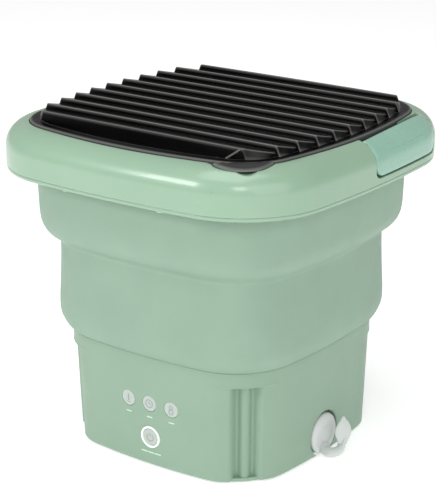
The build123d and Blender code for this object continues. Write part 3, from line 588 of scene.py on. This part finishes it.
lip_rings = []
for inward, height in ((0.9, rim_seam), (0.25, rim_seam - 0.25), (0.0, rim_seam - 0.9),
                       (0.0, rim_seam - 1.7), (0.35, rim_bottom + 0.8), (1.1, rim_bottom + 0.25),
                       (2.2, rim_bottom), (12.0, rim_bottom), (16.4, rim_bottom),
                       (17.0, rim_bottom + 0.4), (17.2, rim_seam - 0.3), (16.8, rim_seam),
                       (8.0, rim_seam)):
    lip_rings.append(ring(rim_plan.inset(0.4 + inward), rim_stations, height))
flap_back = 2.8
flap_middle = float(top_of_flap(np.array([flap_start + flap_length / 2]), flap_back)[0]) / 2 - 0.5
rim_lip = outward(mesh_object("rim_lip", *loft(lip_rings, closed=True)))
finished(rim_lip, "mint_gloss", "rim", ["rim_lower_ring"])

flap_sheet = [(flap_middle, 0.35)] + [(0.5 * inset, 0.35) for inset in range(33, 6, -2)]
flap_sheet += [(2.6, 0.25), (1.5, 0.12), (0.8, -0.15), (0.3, -0.6),
              (0.0, -1.2), (0.0, -2.6), (0.3, -3.2), (0.9, -3.5), (2.2, -3.5), (2.8, -3.3), (3.0, -2.3),
              (3.6, -2.1), (8.0, -2.1), (14.0, -2.1), (flap_middle, -2.1)]
hinge_radius = 2.6
hinge_low = hinge_point + hinge_along * (flap_start - hinge_point @ hinge_along)
barrel = [(0.0, 0.0), (2.2, 0.0), (2.5, 0.15), (hinge_radius, 0.5), (hinge_radius, flap_length - 0.5),
          (2.5, flap_length - 0.15), (2.2, flap_length), (0.0, flap_length)]
handle = mesh_object("handle_flap_shell", *joined(flap_solid(flap_sheet, 0.0, 10.0, flap_back),
                                                   turned(barrel, hinge_low, hinge_along)))
outward(handle)
finished(handle, "mint_handle", "handle", ["handle_flap"])


# ---- Bellows ----------------------------------------------------------
bellows_levels = np.array([
    (95.0, 105.5, 54.0, 2.7),
    (96.2, 107.0, 54.0, 2.8),
    (98.5, 108.8, 53.6, 3.0),
    (103.0, 111.0, 53.0, 3.4),
    (109.0, 112.6, 52.0, 3.7),
    (118.0, 113.2, 52.0, 4.0),
    (136.0, 112.5, 52.0, 4.0),
    (154.0, 111.9, 52.0, 4.0),
    (167.5, 111.7, 52.0, 4.0),
    (169.6, 111.9, 52.0, 4.0),
    (171.2, 112.6, 52.6, 4.0),
    (173.2, 114.8, 54.0, 4.0),
    (176.5, 119.0, 57.0, 3.8),
    (180.0, 122.0, 60.0, 3.6),
    (185.0, 124.4, 63.0, 3.3),
    (191.0, 125.8, 65.0, 3.2),
    (201.0, 126.3, 66.0, 3.0),
    (233.4, 126.9, 66.0, 3.0),
])


def through(levels, steps):
    """Smooth curve through levels, steps between each pair."""
    padded = np.vstack([2 * levels[0] - levels[1], levels, 2 * levels[-1] - levels[-2]])
    dense = []
    for i in range(1, len(padded) - 2):
        before, here, there, after = padded[i - 1:i + 3]
        span = there[0] - here[0]
        slope_here = (there - before) / max(there[0] - before[0], 1e-6) * span
        slope_there = (after - here) / max(after[0] - here[0], 1e-6) * span
        for step in range(steps):
            t = step / steps
            dense.append((2 * t**3 - 3 * t**2 + 1) * here + (t**3 - 2 * t**2 + t) * slope_here
                         + (3 * t**2 - 2 * t**3) * there + (t**3 - t**2) * slope_there)
    dense.append(levels[-1])
    return np.array(dense)


plain_stations = spread([(56, 44)] * 4)


def bellows_shape():
    wall = 2.2
    dense = through(bellows_levels, 4)
    rings = [ring(Plan(h, c, b), plain_stations, z) for z, h, c, b in dense]
    top = Plan(*bellows_levels[-1][1:])
    bellows_top = high("bellows")[2]
    for out, height in ((1.0, 233.5), (3.6, 233.5), (4.0, 233.9), (4.0, bellows_top - 0.4),
                        (3.6, bellows_top), (-wall, bellows_top)):
        rings.append(ring(top.inset(-out), plain_stations, height))
    for z, h, c, b in dense[::-1]:
        rings.append(ring(Plan(h - wall, c - wall, b), plain_stations, max(z + 1.0, base_top + 2.5)))
    for inward in (8.0, 8.5):
        rings.append(ring(base_top_plan.inset(inward), plain_stations, base_top + 2.5))
    rings.append(ring(base_top_plan.inset(8.5), plain_stations, base_top))
    return loft(rings, closed=True)


bellows = outward(mesh_object("bellows_skin", *bellows_shape()))
finished(bellows, "mint_bellows", "base", ["bellows"])
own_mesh(bellows)


# ---- Base housing -----------------------------------------------------
collar = 82.0
base_stations = spread([(60, 120)] * 4)


def base_plan(height):
    share = (height - base_bottom) / (base_top - base_bottom)
    return Plan(*[a + (b - a) * share for a, b in zip(
        (base_bottom_plan.half, base_bottom_plan.corner, base_bottom_plan.bow),
        (base_top_plan.half, base_top_plan.corner, base_top_plan.bow))])


shoulder_depth, channel_depth = 0.9, 3.4
groove_depth, groove_place, groove_width = 3.6, 7.0, 3.4


def from_diagonal(stations, corner):
    """Distance round the corner from its middle; the flat sides count as far away."""
    part = stations - np.floor(stations)
    turn = pi / 2 - 2 * base_top_plan.lean
    return np.where(part >= 0.5, np.abs(2 * part - 1.5) * turn * corner, 1e3)


def corner_channel(across):
    """Depth of the recessed corner: soft shoulders, two grooves and a rib between them."""
    shoulders = shoulder_depth * smooth((25.0 - across) / 11.0)
    channel = channel_depth * smooth((14.2 - across) / 6.0)
    grooves = groove_depth * np.exp(-(((across - groove_place) / groove_width) ** 2))
    return shoulders + channel + grooves


def bead_share(across):
    """The collar's bead runs round the corners only."""
    return smooth((30.0 - across) / 8.0)


def base_ring(height, inward, share, bead=0.0):
    """Ring of the housing: inward from the outside, with shares of the channel and the bead."""
    plan = base_plan(height)
    flat, facing = plan.inset(inward).points(base_stations)
    across = from_diagonal(base_stations, plan.corner)
    depth = corner_channel(across) * share - bead * bead_share(across)
    return np.column_stack([flat - facing * depth[:, None], np.full(len(flat), height)])


def base_shape():
    outer = [(base_bottom, 1.5, 1), (base_bottom + 0.25, 0.8, 1), (base_bottom + 0.8, 0.25, 1),
             (base_bottom + 1.6, 0, 1)]
    outer += [(z, 0, 1) for z in (6, 12, 20, 28, 36, 44, 52, 60, 68, 74, 78, 80)]
    outer += [(collar - 1.2, 0, 1), (collar - 0.6, 0, 0.97), (collar - 0.25, 0, 0.85),
              (collar, 0, 0.55, 0.05), (collar + 0.25, 0, 0.12, 0.2), (collar + 0.7, 0, 0, 0.35),
              (collar + 1.3, 0, 0, 0.3), (collar + 2.2, 0, 0, 0.08), (collar + 3.5, 0, 0),
              (90, 0, 0), (93.6, 0, 0), (94.5, 0.15, 0), (94.9, 0.5, 0), (base_top, 1.0, 0)]
    inner = [(base_top, 2.5, 0), (collar + 2, 2.5, 0), (collar - 1, 2.5, 1), (60, 2.5, 1), (30, 2.5, 1),
             (6, 2.5, 1), (base_bottom, 2.5, 1)]
    return loft([base_ring(*level) for level in outer + inner], closed=True)


def square_ring(half, height):
    return np.array([(x * half, y * half, height) for x, y in ((-1, -1), (1, -1), (1, 1), (-1, 1))])


def panel_y(x, z):
    """Front face of the housing at a place on the panel."""
    plan = base_plan(z)
    return -(plan.side_centre + np.sqrt(plan.side**2 - x**2))


drain_low, drain_high = low("drain_gasket"), high("drain_gasket")
drain_y, drain_z = ((drain_low + drain_high) / 2)[1:]
recess_floor_x = drain_low[0]
recess_radius = 19.0
icon_low, icon_high = low("indicator_lenses"), high("indicator_lenses")
icon_radius = 6.6
icon_z = (icon_low[2] + icon_high[2]) / 2
icon_left, icon_right = icon_low[0] + icon_radius + 1.2, icon_high[0] - icon_radius - 1.2
icon_places = [icon_left, (icon_left + icon_right) / 2, icon_right]
power_low, power_high = low("button_bezel"), high("button_bezel")
power_x, power_z = ((power_low + power_high) / 2)[[0, 2]]
bezel_radius = (power_high[0] - power_low[0]) / 2
jack_low, jack_high = low("power_inlet"), high("power_inlet")
jack_x, jack_z = ((jack_low + jack_high) / 2)[[0, 2]]


def flared(radius, depth, flare=0.7, rise=6.0):
    """Profile of a round cutter from its end up, widened where it meets the surface."""
    return [(0, 0), (radius, 0), (radius, depth - flare), (radius + 0.2 * flare, depth - 0.35 * flare),
            (radius + flare, depth + 0.05), (radius + flare + 0.6, depth + rise), (0, depth + rise)]


base = outward(mesh_object("base_body", *base_shape()))
drain_face = base_plan(drain_z).half
boss_start, boss_radius = 93.5, 22
boss_length = drain_face - 1.4 - boss_start
boss = mesh_object("boss", *turned([(0, 0), (boss_radius, 0), (boss_radius, boss_length), (0, boss_length)],
                                    (boss_start, drain_y, drain_z), (1, 0, 0), 72))
cut(base, outward(boss), "UNION")
# The boss ends level with the housing's lower edge
slab = mesh_object("slab", *loft([square_ring(130.0, -20.0), square_ring(130.0, base_bottom - 0.05)]))
cut(base, outward(slab))
for radius, start, depth, flare in ((recess_radius, recess_floor_x, drain_face - recess_floor_x, 1.1),
                                    (9.5, 90.0, recess_floor_x - 90.0, 0.01)):
    cut(base, outward(mesh_object("cutter", *turned(flared(radius, depth, flare),
                                                    (start, drain_y, drain_z), (1, 0, 0), 96))))
hole_depth, wall_slope = 6.0, -0.034
for place in icon_places:
    face = panel_y(place, icon_z)
    cut(base, outward(mesh_object("cutter", *turned(
        flared(icon_radius + 0.12, hole_depth, 0.28), (place, face + hole_depth, icon_z),
        (0, -1, wall_slope), 64))))
face = panel_y(power_x, power_z)
cut(base, outward(mesh_object("cutter", *turned(
    flared(bezel_radius + 0.1, hole_depth, 0.35), (power_x, face + hole_depth, power_z),
    (0, -1, wall_slope), 72))))
cut(base, outward(mesh_object("cutter", *turned(
    flared(6.05, hole_depth, 0.3), (jack_x, -face - hole_depth, jack_z), (0, 1, wall_slope), 48))))
finished(base, "mint_satin", "base", ["base_housing"])


# ---- Control panel: lenses, symbols, power button ---------------------
def panel_rings(centre, shape, steps=48):
    """Rings about a place on the panel: (radius, proud of the surface)."""
    rings = []
    for radius, proud in shape:
        angles = np.arange(steps) * 2 * pi / steps
        x = centre[0] + radius * np.cos(angles)
        z = centre[1] + radius * np.sin(angles)
        rings.append(np.column_stack([x, panel_y(x, z) - proud, z]))
    return rings


def panel_disc(centre, shape):
    return loft(panel_rings(centre, shape))


def panel_annulus(centre, middle, width, proud, sink=0.3):
    """Flat ring on the panel with soft edges."""
    half = width / 2
    shape = [(middle - half, -sink), (middle - half, proud * 0.6), (middle - half * 0.7, proud),
             (middle + half * 0.7, proud), (middle + half, proud * 0.6), (middle + half, -sink)]
    return loft(panel_rings(centre, shape), closed=True)


def panel_bar(start, end, width, proud, sink=0.3):
    """Round-ended bar on the panel between two places."""
    start, end = np.array(start, float), np.array(end, float)
    way = (end - start) / max(np.hypot(*(end - start)), 1e-6)
    side = np.array([-way[1], way[0]])
    rings = []
    for share, height in ((1.0, -sink), (1.0, proud * 0.6), (0.7, proud), (0.02, proud)):
        outline = []
        for centre, first in ((end, -pi / 2), (start, pi / 2)):
            for step in range(9):
                angle = first + pi * step / 8
                outline.append(centre + share * width / 2 * (cos(angle) * way + sin(angle) * side))
        outline = np.array(outline)
        rings.append(np.column_stack([outline[:, 0], panel_y(outline[:, 0], outline[:, 1]) - height,
                                      outline[:, 1]]))
    return loft(rings)


lens_shape = [(0.0, -5.5), (icon_radius, -5.5), (icon_radius, -0.35), (icon_radius - 0.15, -0.08),
              (icon_radius - 0.5, 0.05), (icon_radius - 1.2, 0.1), (3.0, 0.14), (0.0, 0.15)]
lenses = mesh_object("icon_lenses", *joined(*[panel_disc((x, icon_z), lens_shape) for x in icon_places]))
finished(outward(lenses), "lens_white", "base", ["indicator_lenses"])

raised = 0.24
left, middle, right = icon_places
symbols = [
    # An upright over a base line, a ring with two hands, and two small rings
    panel_bar((left + 0.2, icon_z - 2.2), (left + 0.2, icon_z + 2.6), 1.3, raised),
    panel_bar((left - 1.5, icon_z - 3.6), (left + 1.9, icon_z - 3.6), 0.6, raised),
    panel_annulus((middle, icon_z), 3.3, 0.8, raised),
    panel_bar((middle, icon_z), (middle, icon_z + 2.1), 0.8, raised),
    panel_bar((middle, icon_z), (middle + 1.5, icon_z - 0.9), 0.8, raised),
    panel_annulus((right, icon_z + 1.7), 1.5, 0.8, raised),
    panel_annulus((right, icon_z - 1.9), 1.9, 0.8, raised),
]
symbol_piece = outward(mesh_object("icon_symbols", *joined(*symbols)))
finished(symbol_piece, "symbol_grey", "base")

mark_z, power_mark_z = icon_z - 11.5, power_z - 13.6
marks = [panel_bar((x - 2.3, mark_z), (x + 2.3, mark_z), 0.9, 0.05, 0.1) for x in icon_places]
# Short bars, so that each one follows the panel's bow
marks += [panel_bar((power_x + x - 2.6, power_mark_z), (power_x + x + 2.6, power_mark_z), 1.0, 0.05, 0.1)
          for x in (-6.6, 0.0, 6.6)]
mark_piece = outward(mesh_object("panel_marks", *joined(*marks)))
finished(mark_piece, "mark_pale", "base")

button_radius = bezel_radius - 2.15
bezel_profile = [(bezel_radius, -3.0), (bezel_radius, 0.35), (bezel_radius - 0.25, 0.75),
                 (bezel_radius - 0.7, 0.95), (bezel_radius - 1.2, 0.95), (bezel_radius - 1.7, 0.7),
                 (bezel_radius - 1.95, 0.3), (bezel_radius - 1.98, -3.0)]
bezel = mesh_object("power_ring", *loft(panel_rings((power_x, power_z), bezel_profile, 72), closed=True))
finished(outward(bezel), "ring_bright", "base", ["button_bezel"])

button_front = panel_y(power_x, power_z) - low("power_button")[1]
button_profile = [(0.0, -4.0), (button_radius + 1.4, -4.0), (button_radius + 1.4, -3.4),
                  (button_radius, -3.3), (button_radius, button_front - 1.1),
                  (button_radius - 0.3, button_front - 0.6), (button_radius - 0.9, button_front - 0.4),
                  (button_radius - 2.2, button_front - 0.45),
                  (3.0, button_front - 0.6), (0.0, button_front - 0.65)]
mark_height = button_front - 0.42
arc = [(power_x + 3.2 * sin(a), power_z - 0.2 + 3.2 * cos(a)) for a in np.linspace(0.75, 2 * pi - 0.75, 15)]
power_mark = [panel_bar(a, b, 0.75, mark_height, -0.1) for a, b in zip(arc, arc[1:])]
power_mark.append(panel_bar((power_x, power_z + 0.8), (power_x, power_z + 3.8), 0.8, mark_height, -0.1))
button = mesh_object("power_key", *panel_disc((power_x, power_z), button_profile))
finished(outward(button), "button_white", "power_key", ["power_button"])
sign = outward(mesh_object("power_sign", *joined(*power_mark)))
finished(sign, "symbol_grey", "power_key")


# ---- Drain stopper ----------------------------------------------------
def swept(points, sections, steps=20):
    """Tube through points with its own width and thickness at each point."""
    line = bpy.data.curves.new("line", "CURVE")
    line.dimensions = "3D"
    spline = line.splines.new("NURBS")
    spline.points.add(len(points) - 1)
    for target, point in zip(spline.points, points):
        target.co = (*point, 1)
    spline.order_u = 3
    spline.use_endpoint_u = True
    line.resolution_u = 10
    holder = bpy.data.objects.new("line", line)
    path = np.array([v.co for v in bpy.data.meshes.new_from_object(holder).vertices])
    bpy.data.objects.remove(holder)
    way = np.gradient(path, axis=0)
    way /= np.linalg.norm(way, axis=1)[:, None]
    share = np.linspace(0, len(sections) - 1, len(path))
    widths = np.interp(share, range(len(sections)), [s[0] for s in sections])
    depths = np.interp(share, range(len(sections)), [s[1] for s in sections])
    rings = []
    side = np.array([0.25, 0.95, 0.1])
    for point, forward, width, depth in zip(path, way, widths, depths):
        side = side - forward * (side @ forward)
        side /= np.linalg.norm(side)
        other = np.cross(forward, side)
        angles = np.arange(steps) * 2 * pi / steps
        rings.append([point + width * cos(a) * side + depth * sin(a) * other for a in angles])
    return loft(rings)


cap_back, cap_front = 99.8, 105.4
cap_profile = [(0.0, cap_back), (15.6, cap_back), (16.6, cap_back + 0.3), (17.0, cap_back + 1.0),
               (17.0, cap_back + 1.9), (16.6, cap_back + 3.0), (15.6, cap_back + 4.0),
               (13.8, cap_back + 4.7), (11.0, cap_back + 5.1), (8.6, cap_back + 5.2),
               (7.9, cap_back + 4.9), (7.2, cap_back + 4.9), (6.4, cap_back + 5.3),
               (3.0, cap_front + 0.1), (0.0, cap_front + 0.15)]
neck_profile = [(0.0, 95.3), (5.6, 95.3), (6.3, 95.9), (6.45, 96.8), (6.2, 97.6), (6.45, 98.6),
                (6.45, cap_back + 0.6), (0.0, cap_back + 0.6)]
strap_points = [(103.6, -3.0, 10.0), (105.5, -5.5, 7.0), (108.5, -7.0, 5.9), (112.5, -6.8, 5.6),
                (116.0, -3.8, 6.2), (117.4, 0.0, 8.4), (117.2, 3.0, 11.8), (116.6, 4.6, 15.0)]
strap_sections = [(5.0, 2.8), (4.8, 3.6), (4.6, 4.0), (4.5, 4.0), (4.4, 3.9), (4.2, 3.4), (3.8, 2.6),
                  (3.2, 1.8)]
tab_points = [(117.3, 2.4, 11.0), (116.9, 3.6, 14.0), (116.4, 4.8, 17.6), (115.9, 5.8, 21.4),
              (115.4, 6.6, 25.4), (115.0, 7.2, 29.4), (114.7, 7.6, 33.0)]
tab_sections = [(4.2, 2.2), (6.4, 2.4), (8.0, 2.5), (8.4, 2.5), (7.4, 2.3), (5.0, 1.9), (0.8, 0.6)]
stopper = mesh_object("drain_stopper", *joined(
    turned(cap_profile, (0, drain_y, drain_z), (1, 0, 0), 72),
    turned(neck_profile, (0, drain_y, drain_z), (1, 0, 0), 48),
    swept(strap_points, strap_sections),
    swept(tab_points, tab_sections, 28)))
finished(outward(stopper), "clear_silicone", "stopper", ["drain_plug"])


# ---- Lid --------------------------------------------------------------
lid_edge = 268.0
lid_stations = plain_stations
field = lid_plan.inset(9.6)
field_floor = 266.5
rib_count = 11
rib_pitch = 20.7
first_rib = -105.2
rib_foot = 271.2
rib_top = lid_high - 0.05


def lid_plate():
    skirt = mouth_plan.inset(2.0)
    rings = [ring(mouth_plan.inset(5.0), lid_stations, 262.2)]
    for inward, height in ((2.5, 262.0), (2.5, lid_low + 0.4), (2.1, lid_low), (0.4, lid_low),
                           (0.0, lid_low + 0.4), (0.0, 262.6)):
        rings.append(ring(skirt.inset(inward), lid_stations, height))
    for inward, height in ((0.5, 262.7), (0.1, 262.9), (0.0, 263.4), (0.0, 266.6), (0.12, 267.2),
                           (0.45, 267.75), (1.0, lid_edge + 0.05), (1.8, lid_edge + 0.15),
                           (3.2, lid_edge + 0.2), (6.4, lid_edge + 0.2), (7.6, lid_edge + 0.25),
                           (8.3, lid_edge + 0.3),
                           (8.8, lid_edge + 0.15), (9.15, 267.7), (9.3, 267.1), (9.6, 266.65),
                           (10.1, field_floor), (16.0, field_floor), (30.0, field_floor)):
        rings.append(ring(lid_plan.inset(inward), lid_stations, height))
    return loft(rings)


def rib_profile():
    """Sawtooth line from front to back: upright face, rounded crest, long slope, soft foot."""
    line = []
    back_end = field.half - 0.4
    for rib in range(rib_count):
        crest = first_rib + rib * rib_pitch
        start = rib_foot if rib else field_floor - 1.0
        end = crest + rib_pitch
        line += [(crest - 0.30, start + 0.05), (crest - 0.12, start + 0.5), (crest - 0.05, rib_top - 3.0),
                 (crest, rib_top - 0.75), (crest + 0.12, rib_top - 0.3), (crest + 0.4, rib_top - 0.04),
                 (crest + 0.8, rib_top), (crest + 1.3, rib_top - 0.12)]
        slope_start = crest + 2.0
        for step in range(9):
            share = step / 8
            y = slope_start + (end - 0.9 - slope_start) * share
            line.append((y, rib_top - 0.38 - (rib_top - 0.38 - rib_foot) * share))
        line.append((end - 0.5, rib_foot - 0.02))
    line = [(y, z) for y, z in line if y < back_end]
    line.append((back_end, line[-1][1] - 0.2))
    return np.array(line)


def washboard():
    """Ribs as one solid, cut to the field's outline, with rounded ends."""
    profile = rib_profile()
    y, z = profile[:, 0], profile[:, 1]
    reach = field.half_width(y)
    bottom = field_floor - 1.2
    columns = [(-1, -3.6, None), (-1, -3.6, 8.8), (-1, -1.8, 4.6), (-1, -0.35, 1.15), (-1, -0.1, 0.6),
               (-1, 0.2, 0.22), (-1, 0.7, 0.03), (-1, 1.5, 0.0)]
    columns += [(1, inward, drop) for _, inward, drop in columns[::-1]]
    grid = []
    for side, inward, drop in columns:
        height = np.full(len(z), bottom) if drop is None else np.maximum(z - drop, bottom + 0.05)
        grid.append(np.column_stack([side * (reach - inward), y, height]))
    grid = np.array(grid)
    count, size = grid.shape[:2]
    faces = []
    for column in range(count - 1):
        for i in range(size - 1):
            here, there = column * size + i, (column + 1) * size + i
            faces.append((here, there, there + 1, here + 1))
    last = (count - 1) * size
    for i in range(size - 1):
        faces.append((i, i + 1, last + i + 1, last + i))
    for i in (0, size - 1):
        faces.append(tuple(column * size + i for column in range(count)))
    return grid.reshape(-1, 3), faces


def lid_tab():
    """Lifting tab: the lid's edge swells out over the thumb dimple and droops a little."""
    rings = []
    for share, height in ((0.0, 265.35), (0.93, 265.35), (0.985, 265.55), (1.0, 266.0), (1.0, 266.7),
                          (0.99, 267.3), (0.965, 267.75), (0.93, 268.0), (0.88, 268.15), (0.7, 268.2),
                          (0.4, 268.2), (0.0, 268.2)):
        angles = np.arange(96) * 2 * pi / 96
        across = tab_across + tab_half_across * share * np.cos(angles)
        out = tab_reach + tab_half_out * share * np.sin(angles)
        droop = 0.011 * np.maximum(out - 148, 0) ** 2
        sink = 3.0 * smooth((146.5 - out) / 3.0)
        drop = droop + (sink if height > 266.8 else 0)
        flat = across[:, None] * crosswise + out[:, None] * diagonal
        flat[:, 2] = np.maximum(height - drop, 264.4)
        rings.append(flat)
    return loft(rings)


def corner_brace():
    """Small ridge from the front rib's end down to the lid's edge, above the tab."""
    end = float(field.half_width(first_rib)) - 1.5
    top = np.array([end, first_rib - 0.2, rib_top - 0.8])
    foot = np.array([end - 11.5, first_rib - 1.2, 267.0])
    return swept([top, (top + foot) / 2, foot], [(0.7, 0.7), (0.8, 0.8), (1.0, 0.9)], 12)


lid = mesh_object("lid_shell", *joined(lid_plate(), washboard(), lid_tab(), corner_brace()))
finished(outward(lid), "black_lid", "lid", ["lid_washboard"])


# ---- Floor, light and camera ------------------------------------------
def studio():
    paper = bpy.data.materials.new("paper")
    paper.use_nodes = True
    nodes, links = paper.node_tree.nodes, paper.node_tree.links
    shader = nodes["Principled BSDF"]
    shader.inputs["Roughness"].default_value = 0.9
    shader.inputs["Specular IOR Level"].default_value = 0.1
    grain = nodes.new("ShaderNodeTexNoise")
    grain.inputs["Scale"].default_value = 40
    tint = nodes.new("ShaderNodeMix")
    tint.data_type = "RGBA"
    tint.inputs[6].default_value = (0.90, 0.90, 0.90, 1)
    tint.inputs[7].default_value = (0.93, 0.93, 0.93, 1)
    shader.inputs["Emission Color"].default_value = (1, 1, 1, 1)
    shader.inputs["Emission Strength"].default_value = 0.46
    links.new(grain.outputs["Fac"], tint.inputs["Factor"])
    links.new(tint.outputs[2], shader.inputs["Base Color"])
    floor = bpy.data.meshes.new("floor")
    size = 6.0
    floor.from_pydata([tuple(p) for p in square_ring(size, 0)], [], [(0, 1, 2, 3)])
    floor.materials.append(paper)
    ground = bpy.data.objects.new("floor", floor)
    bpy.context.scene.collection.objects.link(ground)

    world = bpy.data.worlds.new("studio")
    world.use_nodes = True
    bpy.context.scene.world = world
    nodes, links = world.node_tree.nodes, world.node_tree.links
    sky = nodes["Background"]
    dim = nodes.new("ShaderNodeBackground")
    # The sky is white behind the object, and dimmer as a light on it
    for background, strength in ((sky, 1.0), (dim, 0.42)):
        background.inputs["Color"].default_value = (1, 1, 1, 1)
        background.inputs["Strength"].default_value = strength
    ray = nodes.new("ShaderNodeLightPath")
    choose = nodes.new("ShaderNodeMixShader")
    links.new(ray.outputs["Is Camera Ray"], choose.inputs["Fac"])
    links.new(dim.outputs["Background"], choose.inputs[1])
    links.new(sky.outputs["Background"], choose.inputs[2])
    links.new(choose.outputs["Shader"], nodes["World Output"].inputs["Surface"])


def lamp(name, place, aim, size, power):
    """Soft square light."""
    data = bpy.data.lights.new(name, "AREA")
    data.size, data.energy = size, power
    light = bpy.data.objects.new(name, data)
    light.location = place
    light.rotation_mode = "QUATERNION"
    light.rotation_quaternion = (Vector(aim) - Vector(place)).to_track_quat("-Z", "Y")
    bpy.context.scene.collection.objects.link(light)


studio()
middle_height = (0, 0, 0.15)
lamp("key", (-0.80, -1.6, 1.02), middle_height, 0.5, 11)
lamp("front", (0.92, -1.40, 1.02), middle_height, 0.4, 4)
lamp("fill", (1.7, -0.7, 0.9), middle_height, 1.4, 9)
lamp("top", (0.0, -0.5, 2.0), middle_height, 1.5, 18)

camera_data = bpy.data.cameras.new("camera")
camera_data.sensor_width = 36
camera_data.lens = 119.45
camera_data.shift_x = -0.0095
camera_data.shift_y = 0.0447
camera_data.clip_start = 0.05
azimuth, elevation, distance = radians(36.4), radians(19.32), 1.348
aim = Vector((0, 0, 0.135))
back = Vector((sin(azimuth) * cos(elevation), -cos(azimuth) * cos(elevation), sin(elevation)))
camera = bpy.data.objects.new("camera", camera_data)
camera.location = aim + back * distance
camera.rotation_mode = "QUATERNION"
camera.rotation_quaternion = (-back).to_track_quat("-Z", "Y")
bpy.context.scene.collection.objects.link(camera)
bpy.context.scene.camera = camera
bpy.context.scene.view_settings.view_transform = "Standard"
